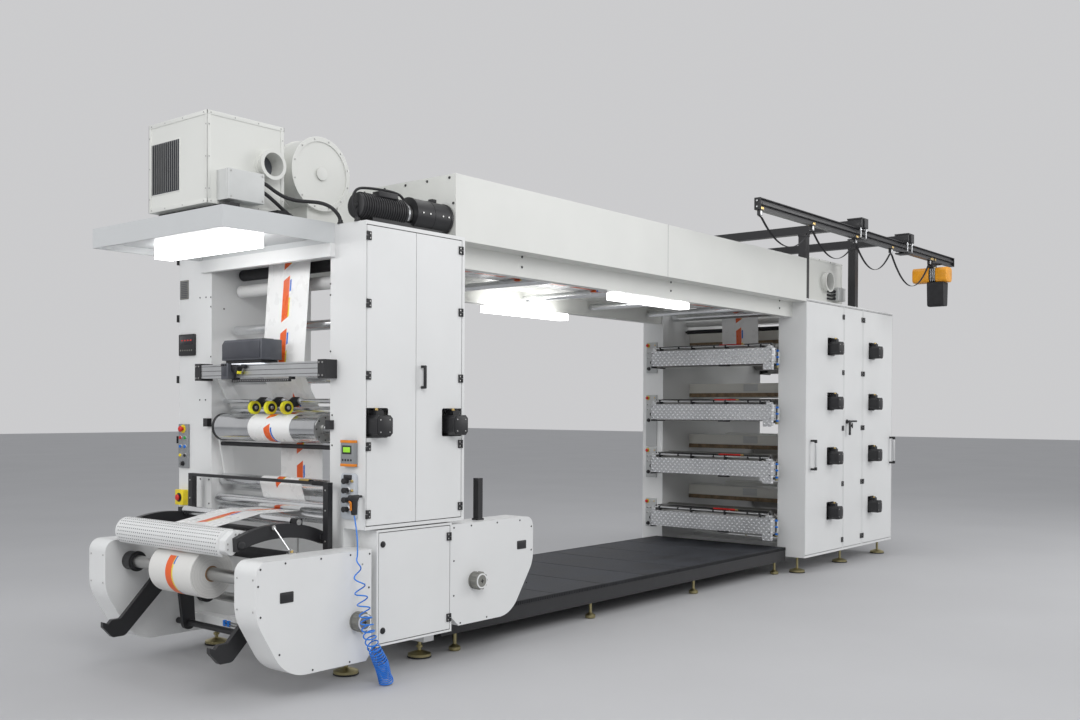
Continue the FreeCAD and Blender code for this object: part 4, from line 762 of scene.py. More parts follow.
class PRESS_OT_hinges(bpy.types.Operator):
    """Black screwed hinges, one leaf on the door and one on the cabinet"""
    bl_idname = "press.hinges"
    bl_label = "Door hinges"

    def execute(self, context):
        frame_side = Shape()
        for name, x, way, body, heights in DOOR_HINGES:
            leaf = Shape()
            spots = []
            for z in heights:
                leaf.box((x + way * 7, x + way * 31), HINGE_Y, (z - 25, z + 25.5), "plastic", 1.5)
                leaf.box((x, x + way * 9), HINGE_Y, (z + 1, z + 25.5), "plastic", 1.0)
                leaf.rod((x, PIN_Y, z + 0.5), (x, PIN_Y, z + 25.5), 6.6, "plastic")
                frame_side.box((x - way * 7, x + way * 2), HINGE_Y, (z - 25.5, z - 1), "plastic", 1.0)
                frame_side.rod((x, PIN_Y, z - 25.5), (x, PIN_Y, z), 6.6, "plastic")
                spots += [(x + way * 20, FACE - 8, z + dz, FRONT) for dz in (-13, 13)]
            leaf.finish(name + "_hinge_leaves", body)
            studs(name + "_hinge_screws", spots, 0.0048, 1.2, "steel", body)
        frame_side.finish("hinge_frame_leaves")
        return {"FINISHED"}


class PRESS_OT_handles(bpy.types.Operator):
    """Pull bars, the lever and the quarter-turn latches of the doors"""
    bl_idname = "press.handles"
    bl_label = "Handles and latches"

    def execute(self, context):
        bar = Shape()
        bar.box((442, 460), (-994, -976), (1723, 1865), "plastic", 6, 3)
        for z in (1724, 1850):
            bar.box((442, 460), (-980, FACE), (z - 1, z + 15), "plastic", 3)
        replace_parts(bar.finish("tower_door_pull", "tower_right_leaf"), "tower_pull")
        for side, x in (("left", 5790), ("right", 7770)):
            pull = Shape()
            pull.box((x - 11, x + 11), (-1018, -996), (1045, 1285), "aluminium", 9, 4)
            for z, sleeve in ((1014, (1014, 1048)), (1294, (1282, 1316))):
                pull.box((x - 12, x + 12), (-1019, FACE), (z, z + 22), "plastic", 5, 3)
                pull.box((x - 12.5, x + 12.5), (-1019.5, -994), sleeve, "plastic", 6, 3)
            pull.finish("stack_%s_pull" % side, "stack_%s_leaf" % side)
        lever = Shape()
        lever.lathe((6620, FACE, 1490), FRONT, [(0, 22), (10, 22), (12, 13.5), (31, 13.5)], "plastic")
        lever.box((6606, 6634), (-1001, -984), (1349, 1504), "plastic", 5, 3)
        lever.box((6607, 6786), (-1000, -985), (1484, 1503), "plastic", 5, 3)
        lever.lathe((6742, FACE, 1446), FRONT, [(0, 13), (4, 13), (5, 9), (14, 9)], "plastic", 20)
        lever.box((6737, 6747), (-971, -962), (1420, 1472), "plastic", 2)
        lever.finish("stack_door_lever", "stack_centre_leaf")
        latch = Shape()
        for z in LOW_HINGES:
            latch.lathe((138, FACE, z), FRONT, [(0, 19), (3, 19), (4, 15), (9, 14.5), (10, 12)], "plastic")
            latch.box((134.5, 141.5), (-967, -962), (z - 13, z + 13), "plastic", 2)
        latch.finish("lower_door_latches", "lower_leaf")
        return {"FINISHED"}


class PRESS_OT_cheeks(bpy.types.Operator):
    """Knobs, recessed pulls and screws of the winder covers"""
    bl_idname = "press.cheeks"
    bl_label = "Winder covers"

    def execute(self, context):
        trim = Shape()
        for x, z in (SPINDLE, (930, 499)):
            profile = [(0, 56), (6, 56), (8, 50), (20, 50), (20, 53), (62, 53), (66, 50), (68, 40), (71, 38),
                       (71, 0)]
            trim.lathe((x, FACE, z), FRONT, profile, "knob")
            for cx, cz in ring_points(x, z, 50, 10):
                trim.rod((cx, FACE - 22, cz), (cx, FACE - 64, cz), 9, "knob", 12)
            for a, b in ((14, 3), (3, 14)):
                trim.box((x - a, x + a), (FACE - 71, FACE - 73), (z - b, z + b), "plastic", 0.8)
        for x0, x1, z0, z1 in ((-603, -513, 547, 606), (1352, 1445, 655, 712)):
            trim.plate(rounded_outline(x0, x1, z0, z1, 6), "xz", FACE, FACE - 3, "plastic", 1.0)
            trim.box((x0 + 8, x1 - 8), (FACE - 2.5, FACE - 3.6), (z0 + 10, z1 - 12), "rubber", 0.6)
        trim.finish("cheek_trims")
        spots = [(x, FACE, z, FRONT) for x, z in (
            (-729, 745), (-567, 762), (-323, 762), (-110, 762), (35, 755), (-744, 656), (-728, 491),
            (-605, 273), (-380, 152), (-114, 150), (30, 200), (30, 380), (30, 560), (740, 850), (900, 852),
            (1150, 852), (1380, 850), (1500, 800), (1500, 640), (1452, 420), (1280, 245), (1050, 243),
            (800, 240), (740, 420), (740, 640))]
        studs("cheek_screws", spots, context.scene.press_sizes.screw, 2.0, "plastic")
        return {"FINISHED"}


class PRESS_OT_motors(bpy.types.Operator):
    """Caps, ribs and brass glands on the servo motors"""
    bl_idname = "press.motors"
    bl_label = "Servo motors"

    def execute(self, context):
        dress = Shape()
        bolts = []
        motors = [(20, 1437, 125, -1030), (660, 1437, 125, -1030)]
        motors += [(x, z + 50, 130, -1060) for x in (6185, 7185) for z in DECK_LEVELS]
        for x, z, size, front in motors:
            a, b = size * 0.18, size - size * 0.18
            c = size - 6
            corners = ((a, 6), (b, 6), (c, a), (c, b), (b, c), (a, c), (6, b), (6, a))
            dress.plate([(x + u, z + v) for u, v in corners], "xz", front, front - 4, "plastic", 2.0)
            for k in range(3):
                y = front + 12 + 14 * k
                dress.box((x - 1, x + size + 1), (y, y + 5), (z + a + 4, z + size - a - 4), "plastic", 1.0)
            cx = x + size * 0.52
            gland = (front + 60, z + size + 27)
            dress.lathe((cx - size * 0.12, *gland), UP, [(0, 11), (9, 11), (11, 9), (15, 9)], "brass", 16)
            dress.lathe((cx + size * 0.1, *gland), UP, [(0, 9), (8, 9), (10, 7), (13, 7)], "plastic", 16)
            bolts += [(x + u, front - 4, z + v, FRONT) for v in (a + 4, b - 4) for u in (a + 4, b - 4)]
        dress.finish("motor_dress")
        studs("motor_screws", bolts, 0.005, 1.5, "steel")
        return {"FINISHED"}


# The air hose's control points: its lead out of the gun, the line that its turns wind round, its end
HOSE_LEAD = ((-62, -931, 984), (-67, -952, 925), (-78, -975, 868), (-88, -991, 812))
HOSE_COIL = ((-97, -1003, 760), (-99, -1008, 610), (-97, -1066, 445), (-80, -1080, 312), (-10, -1064, 200),
             (52, -1054, 108), (76, -1050, 13))
HOSE_TAIL = ((78, -1087, 10), (95, -1085, 13), (113, -1074, 20), (127, -1053, 34), (141, -1000, 66),
             (128, -960, 98), (115, -939, 134), (112, -935, 171.2))
# Stretches of the coil: share of its length, turns, and the radius that they open to
HOSE_TURNS = ((0.1, 0.75, 18.0), (0.1, 0.75, 32.0), (0.075, 0.75, 33.0), (0.156, 2.0, 34.5),
              (0.289, 5.75, 36.0), (0.11, 4.5, 41.0), (0.17, 11.0, 36.0))
# The hoist cable: its height at the clips, half the flat length under one, the clips' X, the sag
# between each two, and the shares of a span at which it is shaped
CABLE_LEVEL = 3207.7
CLIP_HALF = 20
CABLE_CLIPS = (3906.0, 4870.0, 5800.0, 6680.0, 7764.0)
CABLE_DROPS = (198.0, 196.0, 208.0, 284.0)
CABLE_STEPS = (0.0, 0.05, 0.13, 0.25, 0.38, 0.51, 0.64, 0.77, 0.885, 0.955, 1.0)


def cable_route():
    """The hoist cable's points: flat under each clip, with a sag between two clips."""
    route = [(CABLE_CLIPS[0] - CLIP_HALF, RAIL_Y, CABLE_LEVEL)]
    for x0, x1, drop in zip(CABLE_CLIPS, CABLE_CLIPS[1:], CABLE_DROPS):
        for share in CABLE_STEPS:
            low = drop * (1 - (2 * share - 1) ** 2)
            route.append((x0 + CLIP_HALF + (x1 - x0 - 2 * CLIP_HALF) * share, RAIL_Y, CABLE_LEVEL - low))
    route.append((CABLE_CLIPS[-1] + CLIP_HALF, RAIL_Y, CABLE_LEVEL))
    return route


def smooth_curve(name, points, resolution):
    """Curve data with one smooth line, from its control points in metres."""
    data = bpy.data.curves.new(name, "CURVE")
    data.dimensions = "3D"
    data.resolution_u = resolution
    spline = data.splines.new("NURBS")
    spline.points.add(len(points) - 1)
    for point, place in zip(spline.points, points):
        point.co = (*place, 1.0)
    spline.order_u = 3
    spline.use_endpoint_u = True
    return data


def read_route(points):
    """The smooth line that a route's control points give, as points in metres."""
    data = smooth_curve("route", [mm(*p) for p in points], 12)
    held = bpy.data.objects.new("route", data)
    read = bpy.data.meshes.new_from_object(held)
    line = [v.co.copy() for v in read.vertices]
    bpy.data.objects.remove(held)
    bpy.data.curves.remove(data)
    bpy.data.meshes.remove(read)
    return line


def coiled(line, stretches, per_turn=14):
    """Points that wind round a line, in metres."""
    runs = [0.0]
    for a, b in zip(line, line[1:]):
        runs.append(runs[-1] + (b - a).length)
    up = Vector((1.0, 0.0, 0.0))
    points = []
    start, radius, turned, i = 0.0, 3.0, 0.25, 0
    for share, turns, wide in stretches:
        steps = round(turns * per_turn)
        for k in range(steps):
            along = (start + share * k / steps) * runs[-1]
            while i < len(line) - 2 and runs[i + 1] < along:
                i += 1
            ahead = (line[i + 1] - line[i]).normalized()
            up = (up - ahead * up.dot(ahead)).normalized()
            side = ahead.cross(up)
            turn = 2 * math.pi * (turned + turns * k / steps)
            reach = (radius + (wide - radius) * k / steps) / 1000.0
            middle = line[i] + ahead * (along - runs[i])
            points.append(middle + (up * math.cos(turn) - side * math.sin(turn)) * reach)
        start, radius, turned = start + share, wide, turned + turns
    return points


class PRESS_OT_cords(bpy.types.Operator):
    """The curly air hose and the flat hoist cable, which hang free"""
    bl_idname = "press.cords"
    bl_label = "Cords"

    def execute(self, context):
        points = [mm(*p) for p in HOSE_LEAD] + coiled(read_route(HOSE_COIL), HOSE_TURNS)
        points += [mm(*p) for p in HOSE_TAIL]
        data = smooth_curve("curly_air_hose", points, 3)
        data.bevel_depth = 0.004
        data.bevel_resolution = 3
        data.use_fill_caps = True
        data.materials.append(materials()["hose"])
        hose = bpy.data.objects.new("curly_air_hose", data)
        context.scene.collection.objects.link(hose)
        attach(hose, PRESS)
        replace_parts(hose, "air_hose")

        line = read_route(cable_route())
        ribbon = Shape()
        ribbon.tube(line, 2.8, "rubber", flat=3.8, placed=True, up=UP)
        cable = ribbon.finish("flat_hoist_cable")
        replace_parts(cable, "festoon_cables")
        return {"FINISHED"}


def button(shape, place, way, material, radius, rise, collar=None):
    """A push button, with a collar of its own material."""
    if collar:
        shape.disc(place, way, radius + 4, 4, collar)
    profile = [(0, radius), (rise - 2, radius), (rise, radius - 2), (rise, 0)]
    return shape.lathe(place, way, profile, material, 24)


def mushroom(shape, place, way, material, radius, rise):
    """A stop button with a wide domed head on a neck."""
    profile = [(0, radius * 0.55), (rise * 0.45, radius * 0.55), (rise * 0.5, radius), (rise * 0.75, radius),
               (rise * 0.93, radius * 0.75), (rise, radius * 0.35), (rise, 0)]
    return shape.lathe(place, way, profile, material, 32)


class PRESS_OT_controls(bpy.types.Operator):
    """Vent, panels, buttons, display, air regulator and air gun on the tower, and the plates by the decks"""
    bl_idname = "press.controls"
    bl_label = "Controls"

    def execute(self, context):
        s = Shape()
        s.plate(rounded_outline(842, 943, 2340, 2470, 5), "yz", 0, -4, "knob", 1.2)
        for k in range(9):
            s.box((-7, -3.5), (853, 932), (2352 + 12.6 * k, 2357.5 + 12.6 * k), "dark_grey", 0.8)
        s.plate(rounded_outline(755, 943, 1954, 2100, 8), "yz", 0, -14, "plastic", 2)
        s.box((-15.5, -13.5), (772, 926), (2030, 2088), "screen", 0.8)
        for k in range(6):
            button(s, (-14, 786 + 26 * k, 1990), AHEAD, "knob", 6, 4)
        for k in range(4):
            s.box((-16.2, -15), (786 + 34 * k, 806 + 34 * k), (2054, 2062), "red", 0.4)

        s.plate(rounded_outline(827, 943, 1189, 1488, 6), "yz", 0, -14, "panel_dark", 1.5)
        s.disc((-14, 885, 1455), AHEAD, 29, 4, "yellow", 32)
        mushroom(s, (-18, 885, 1455), AHEAD, "red", 20, 30)
        for z, *keys in ((1395, "red", "green_button"), (1335, "blue", "blue"), (1275, "yellow", "plastic")):
            for y, key in zip((912, 858), keys):
                button(s, (-14, y, z), AHEAD, key, 11, 12, "aluminium")
        knob = [(0, 17), (4, 17), (5, 14), (20, 13), (22, 11), (22, 0)]
        s.lathe((-14, 885, 1218), AHEAD, knob, "plastic", 24)
        s.box((-39, -35), (883, 887), (1208, 1228), "aluminium", 0.6)

        s.box((-40, 0), (845, 943), (936, 1040), "yellow", 4, 3)
        s.disc((-40, 894, 988), AHEAD, 31, 3, "plastic", 32)
        mushroom(s, (-42, 894, 988), AHEAD, "red", 21, 20)

        s.box((-34, 0), (-888, -775), (1261, 1415), "panel_dark", 3, 3)
        for z0, z1 in ((1261, 1277), (1399, 1415)):
            s.box((-36, -4), (-889, -774), (z0, z1), "orange", 2)
        s.box((-36.5, -33), (-872, -792), (1334, 1384), "plastic", 1.2)
        s.box((-37.2, -36), (-862, -802), (1344, 1374), "green", 0.5)
        for k in range(4):
            button(s, (-34, -868 + 24 * k, 1299), AHEAD, "plastic", 6.5, 4)

        s.plate(rounded_outline(-892, -764, 951, 1221, 22), "yz", 0, -20, "panel_blue", 2.5)
        knob = [(0, 15), (22, 15), (24, 17), (33, 17), (36, 14), (36, 0)]
        for z in (1011, 1066, 1121, 1176):
            s.disc((-20, -828, z), AHEAD, 21, 6, "aluminium")
            s.lathe((-26, -828, z), AHEAD, knob, "plastic", 24)
            s.disc((-20, -866, z), AHEAD, 8, 11, "brass", 12)
            s.disc((-20, -790, z), AHEAD, 8, 13, "plastic", 12)
        s.box((-30, 0), (-860, -796), (1182, 1212), "plastic", 3)
        s.finish("tower_controls")

        gun = Shape()
        grip = [(-79, 986), (-47, 986), (-44, 1060), (-38, 1072), (-32, 1078), (-32, 1102), (-98, 1102),
                (-106, 1092), (-104, 1074), (-82, 1066)]
        gun.plate(grip, "xz", -942, -920, "plastic", 4)
        gun.rod((-36, -931, 1090), (-8, -931, 1090), 8, "plastic")
        gun.rod((-10, -931, 1090), (0, -931, 1090), 5, "brass", 12)
        trigger = [(-92, 1012), (-84, 1012), (-85, 1060), (-97, 1070), (-103, 1066), (-93, 1052)]
        gun.plate(trigger, "xz", -937, -925, "orange", 2)
        gun.rod((-62, -931, 984.5), (-62, -931, 990), 8, "brass", 16)
        gun.box((-44, 0), (-936, -926), (1082, 1096), "aluminium", 1.5)
        coupling = [(0, 6.5), (6, 6.5), (6, 10), (14, 10), (14, 8), (28, 8)]
        gun.lathe((112, -935, 172), UP, coupling, "brass", 18)
        gun.finish("air_gun")

        plates = Shape()
        for z, (low, high) in zip(DECK_LEVELS, ((123, 207), (356, 197), (134, 188), (109, 195))):
            plates.plate(rounded_outline(771, 907, z - low, z + high, 6), "yz", 5669, 5657, "panel", 1.5)
            plates.lathe((5657, 884, z + high - 32), AHEAD, [(0, 22), (3, 22)], "yellow", 24)
            mushroom(plates, (5655, 884, z + high - 32), AHEAD, "red", 17, 24)
            button(plates, (5657, 796, z + high - 30), AHEAD, "brass", 7, 9)
            for y, dz in ((884, 95), (838, 95), (796, 95), (884, 40), (838, 40)):
                button(plates, (5657, y, z + dz), AHEAD, "knob", 8, 7, "aluminium")
            plates.lathe((5657, 824, z - 10), AHEAD,
                         [(0, 26), (4, 26), (5, 22), (24, 20), (26, 17), (26, 0)], "plastic")
            plates.lathe((5657, 872, z - 75), AHEAD,
                         [(0, 20), (4, 20), (5, 17), (20, 15), (21, 12), (21, 0)], "plastic")
            button(plates, (5657, 800, z - 70), AHEAD, "red", 5, 4)
        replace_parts(plates.finish("deck_controls"), "control_panels")
        return {"FINISHED"}


# Thin borders on the hood's four sides: their X at its ends, their Y at its near and far side
HOOD_SKINS = (((-704, -699.5), (-180.5, -176)), ((-424, -419.5), (169.5, 174)))
# X and Z of the blower's axis, and the junction boxes: X, front and Z
BLOWER = (89, 3037)
BOXES = ((-640, -400, -530, 2770, 2940), (6925, 7106, -710, 2790, 2930))
MOTOR_Y = -850


class PRESS_OT_hood(bpy.types.Operator):
    """Borders, louvre, duct ring, fan flange and boxes on the roof"""
    bl_idname = "press.hood"
    bl_label = "Roof units"

    def execute(self, context):
        hood = Shape()
        (ahead, behind), (near, far) = HOOD_SKINS
        along, across = (-704, -176), (-424, 174)
        for level in ((2750, 2774), (3246, 3270)):
            for x, y in ((ahead, across), (along, near), (behind, across), (along, far)):
                hood.box(x, y, level, "warm", 1.2)
        for y in ((-424, -400), (150, 174)):
            for x in (ahead, behind):
                hood.box(x, y, (2774, 3246), "warm", 1.2)
        for x in ((-704, -680), (-200, -176)):
            for y in (near, far):
                hood.box(x, y, (2774, 3246), "warm", 1.2)
        hood.box((-702.5, -699.5), (-150, 148), (2846, 3153), "warm", 1.0)
        # Painted shade: a thin dark sheet behind the louvre's slats stands for the shade inside the vent
        hood.box((-703.2, -702), (-144, 142), (2852, 3147), "dark_grey", 0.3)
        hood.ring((-296, -480, 3023), FRONT, 90, 68.5, 5, "warm")
        hood.ring((-296, -472, 3023), FRONT, 76, 71.5, 4, "warm")
        # Painted shade: a flat dark disc inside the duct rings stands for the shade down the duct
        hood.lathe((-296, -373, 3023), FRONT, [(0, 68), (1.5, 68)], "dark_grey")
        hood.ring((-296, -420, 3023), FRONT, 88, 71.5, 5, "warm")
        hood.finish("hood_trims")
        lean = (0.0, 0.0, math.radians(52))
        slats("hood_louvre", (-705, -131, 3000), (-705, 129, 3000), 14, (18, 1.6, 289), lean, "louvre")
        spots = grid([-704], (-392, -180, 0, 142), (2762, 3258), AHEAD)
        for z in (2830, 3010, 3190):
            spots += grid([-704], (-412, 162), [z], AHEAD) + grid((-692, -188), [-424], [z], FRONT)
        spots += grid((-680, -520, -360, -200), [-424], (2762, 3258), FRONT)
        studs("hood_screws", spots, 0.0045, 1.6, "steel")

        fan = Shape()
        x, z = BLOWER
        fan.ring((x, -440, z), FRONT, 226, 196, 7, "warm", 64)
        fan.ring((x, -262, z), FRONT, 224, 216, 10, "warm", 64)
        fan.lathe((x, -447, z), FRONT, [(0, 40), (4, 40), (5, 36)], "warm")
        fan.ring((x, -100, z), FRONT, 224, 216, 10, "warm", 64)
        for x0, x1, y, z0, z1 in BOXES:
            fan.box((x0 - 1, x1 + 1), (y - 6, y + 2), (z0 - 1, z1 + 1), "box_grey", 3, 3)
            fan.box((x0 - 2, x1 + 2), (y + 14, y + 17), (z0 - 2, z1 + 2), "box_grey", 1.5)
        fan.finish("fan_rings")
        spots = [(x, -447, z, FRONT) for x, z in ring_points(BLOWER[0], BLOWER[1], 211, 12, 0.5)]
        for x0, x1, y, z0, z1 in BOXES:
            spots += grid((x0 + 14, x1 - 14), [y - 6], (z0 + 14, z1 - 14), FRONT)
        studs("fan_bolts", spots, 0.0055, 3.0, "steel")

        motor = Shape()
        for k in range(18):
            motor.ring((34 + 18.5 * k, MOTOR_Y, 2790), BEHIND, 82, 75, 7, "plastic", 40)
        motor.lathe((18, MOTOR_Y, 2790), AHEAD, [(0, 74), (6, 72), (9, 60), (10, 22), (16, 20), (16, 0)],
                    "plastic")
        for x, z, outer, inner, depth, key in (
                (372, 2790, 66, 49, 22, "aluminium"), (398, 2790, 58, 49, 22, "steel"),
                (424, 2800, 99, 94, 16, "plastic"), (576, 2800, 98, 94, 10, "plastic"),
                (716, 2800, 99, 94, 17, "plastic")):
            motor.ring((x, MOTOR_Y, z), BEHIND, outer, inner, depth, key)
        motor.box((150, 300), (-905, -838), (2855, 2890), "plastic", 5, 3)
        motor.box((620, 660), (-870, -830), (2894, 2916), "plastic", 4, 3)
        for x in (470, 530, 640, 690):
            motor.rod((x, -947, 2800), (x, -950, 2800), 6, "steel", 12)
        motor.finish("roof_motor_dress")

        cables = Shape()
        for radius, route in ROOF_CABLES:
            cables.tube(read_route(route), radius, "rubber", placed=True)
        for x, y, z, way in ((-400, -478, 2905, BEHIND), (-400, -478, 2850, BEHIND), (10, -716, 2692, UP),
                             (6, -870, 2692, UP)):
            cables.lathe((x, y, z), way, [(0, 18), (9, 18), (11, 15), (24, 14), (26, 12)], "plastic", 18)
        cables.finish("roof_cables")
        return {"FINISHED"}


class PRESS_OT_frames(bpy.types.Operator):
    """Screws, plates and seams on the tower, the bridge and the side cabinets"""
    bl_idname = "press.frames"
    bl_label = "Frames and bridge"

    def execute(self, context):
        trim = Shape()
        for outline in (((17, 1820), (95, 1820), (232, 1640), (150, 1586)),
                        ((39, 1451), (127, 1451), (180, 1131), (94, 1131))):
            trim.plate(outline, "xz", 574, 552, "white", 2.5)
        trim.box((3193, 3195.5), (FACE - 0.6, FACE + 1), (2669, 3087), "seam", 0)
        trim.box((3193, 3195.5), (954, 955.6), (2669, 3087), "seam", 0)
        for x in (3193, 1900, 4450):
            trim.box((x, x + 2.5), (-954, 954), (3086.5, 3087.6), "seam", 0)
        for x in (1950, 3100, 4250):
            trim.box((x, x + 3), (-640, 640), (2668.2, 2669.3), "seam", 0)
        trim.box((5672, 7830), (FACE - 0.5, FACE + 1), (2683, 2686), "seam", 0)
        trim.finish("seams_and_plates")
        spots = []
        for x in (1564, 3469, 5396):
            for z in (2590, 2661):
                spots += [(x, -805, z, FRONT), (x, 805, z, FAR)]
        spots += grid([744], range(-900, 901, 200), [3065], AHEAD) + grid([744], (-935, 935), [2900], AHEAD)
        studs("bridge_bolts", spots, context.scene.press_sizes.bolt, 4.0, "plastic")
        far = ((708, 2341), (639, 2340), (584, 2337), (583, 2274), (582, 1941), (709, 1653), (642, 1653),
               (600, 1120), (700, 1120), (600, 960))
        near = ((-641, 2343), (-641, 2276), (-643, 1940), (-660, 1560), (-660, 1380), (-655, 1120))
        spots = [(0, y, z, AHEAD) for y, z in far + near]
        inner = ((95, 2266), (480, 2100), (480, 1500), (640, 2300), (640, 1300))
        spots += [(x, 574, z, FRONT) for x, z in inner]
        spots += grid([830], (-880, -720, 650, 900), (1000, 1700, 2400), BEHIND)
        spots += grid([7833], (-880, -720, 780, 900), (260, 1000, 1800, 2600), BEHIND)
        spots += grid((30, 420, 800), [FAR_FACE], (930, 1800, 2655), FAR)
        spots += grid((5700, 6400, 7100, 7800), [FAR_FACE], (200, 1100, 1900, 2660), FAR)
        studs("frame_screws", spots, context.scene.press_sizes.screw, 2.0, "plastic")
        return {"FINISHED"}


class PRESS_OT_camera(bpy.types.Operator):
    """The inspection camera, its lower block, light bar and the rail's grooves"""
    bl_idname = "press.inspection"
    bl_label = "Inspection camera"

    def execute(self, context):
        body = Shape()
        body.plate([(-165, 1900), (250, 1900), (250, 2002), (222, 2028), (-165, 2028)], "yz", 10, -144,
                   "dark_grey", 4)
        body.plate([(-150, 1912), (236, 1912), (236, 1996), (214, 2016), (-150, 2016)], "yz", -144, -150,
                   "knob_dark", 2)
        body.box((-128, -4), (-140, 228), (1880.5, 1901), "plastic", 2)
        body.box((-120, -60), (-120, 200), (1876, 1881), "lamp_dim", 0.5)
        body.box((-150, -92), (180, 250), (1782, 1884), "dark_grey", 4, 3)
        body.box((-152, -148), (190, 240), (1800, 1860), "knob_dark", 1)
        for y in (196, 220, 238):
            body.disc((-150, y, 1872), AHEAD, 6, 7, "plastic", 12)
        body.box((-100, -20), (-120, 160), (2028, 2034), "plastic", 1.5)
        body.box((-124, -92), (150, 178), (1836, 1876), "plastic", 2)
        body.box((-128, -92), (116, 144), (1820, 1866), "black", 2)
        body.box((-130, -96), (97, 110), (1814, 1832), "wheel", 2)
        body.box((-112, -92), (62, 92), (1850, 1876), "plastic", 2)
        body.rod((-110, 164, 1838), (-110, 120, 1806), 3.5, "plastic", 12)
        body.rod((-104, 76, 1852), (-104, 100, 1808), 3.0, "steel", 12)
        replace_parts(body.finish("camera_body", "camera"), "inspection_camera")
        rail = Shape()
        for z in (1806, 1836, 1866):
            rail.box((-91, -89.4), (-640, 560), (z, z + 4), "seam", 0.2)
        rail.box((-82, -38), (-640, 560), (1879.4, 1880.6), "seam", 0.2)
        rail.box((-112, -92), (-390, 190), (1762, 1781), "plastic", 1.5)
        for y in (-380, 180):
            rail.box((-100, -60), (y - 8, y + 8), (1776, 1793), "plastic", 1)
        rail.finish("camera_rail_trim")
        holes = grid([-112], range(-380, 190, 19), [1771], AHEAD)
        studs("camera_rail_holes", holes, 0.004, 0.6, "steel")
        bolts = grid([-96], (-687, -656, 576, 606), (1795, 1872), AHEAD)
        studs("rail_block_bolts", bolts, 0.006, 4.0, "steel")
        return {"FINISHED"}


IN_TOWER, IN_STACK = (-640, 574), (-660, 700)
COVERED_ROLLERS = (
    # X and Z, radius, ends, length and radius of the bare journal, cover
    (236, 2500, 38, IN_TOWER, 20, 12, "rubber"),
    (172, 635, 40, IN_TOWER, 20, 12, "rubber"),
    (222, 2390, 42, IN_TOWER, 20, 12, "white_cover"),
    (198, 1396, 15, IN_TOWER, 1, 15, "rubber"),
    (70, 1362, 14, IN_TOWER, 1, 14, "rubber"),
    (-640, 840, 57.4, (-660, 540), 104, 15, "rubber"),
    (6125, 2548, 38, IN_STACK, 20, 12, "white_cover"),
    (6125, 2457, 22, IN_STACK, 20, 12, "rubber"),
)


class PRESS_OT_rollers(bpy.types.Operator):
    """Rubber covered and white rollers, and what stands at the ends of the drum and its wheels"""
    bl_idname = "press.rollers"
    bl_label = "Rollers and wheels"

    def execute(self, context):
        covers = Shape()
        for x, z, radius, (y0, y1), reach, journal, key in COVERED_ROLLERS:
            half = [(0.3, journal), (reach, journal), (reach, radius - 2), (reach + 2, radius)]
            other = [(y1 - y0 - along, wide) for along, wide in reversed(half)]
            covers.lathe((x, y0, z), FAR, half + other, key, 56)
        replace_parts(covers.finish("covered_rollers"), "rubber_rollers")
        ends = Shape()
        profile = [(0, 78), (2, 78), (3, 60), (3, 34), (16, 32), (17, 24)]
        for y, way in ((-545, FRONT), (479, FAR)):
            ends.lathe((DRUM[0], y, DRUM[1]), way, profile, "steel")
        ends.ring((DRUM[0], 479, DRUM[1]), FAR, 90, 60, 22, "plastic", 56)
        ends.finish("drum_ends", "drum")
        bolts = [(x, -547, z, FRONT) for x, z in ring_points(*DRUM, 68, 8)]
        studs("drum_bolts", bolts, 0.005, 3.0, "plastic", "drum")
        hubs = Shape()
        for y in (-210, -45, 120):
            for way in (-1, 1):
                hubs.lathe((12, y + 13 * way, 1603), (0, way, 0), [(0, 27), (1.5, 27), (2, 25), (2, 10)],
                           "plastic", 32)
            hubs.lathe((12, y - 15, 1603), FRONT, [(0, 11), (6, 11), (8, 8), (8, 0)], "steel", 20)
            hubs.box((-6, 24), (y + 14, y + 30), (1620, 1648), "plastic", 3)
            hubs.disc((105, y - 30, 1645), FAR, 22, 13, "aluminium")
        hubs.finish("press_wheel_hubs")
        return {"FINISHED"}


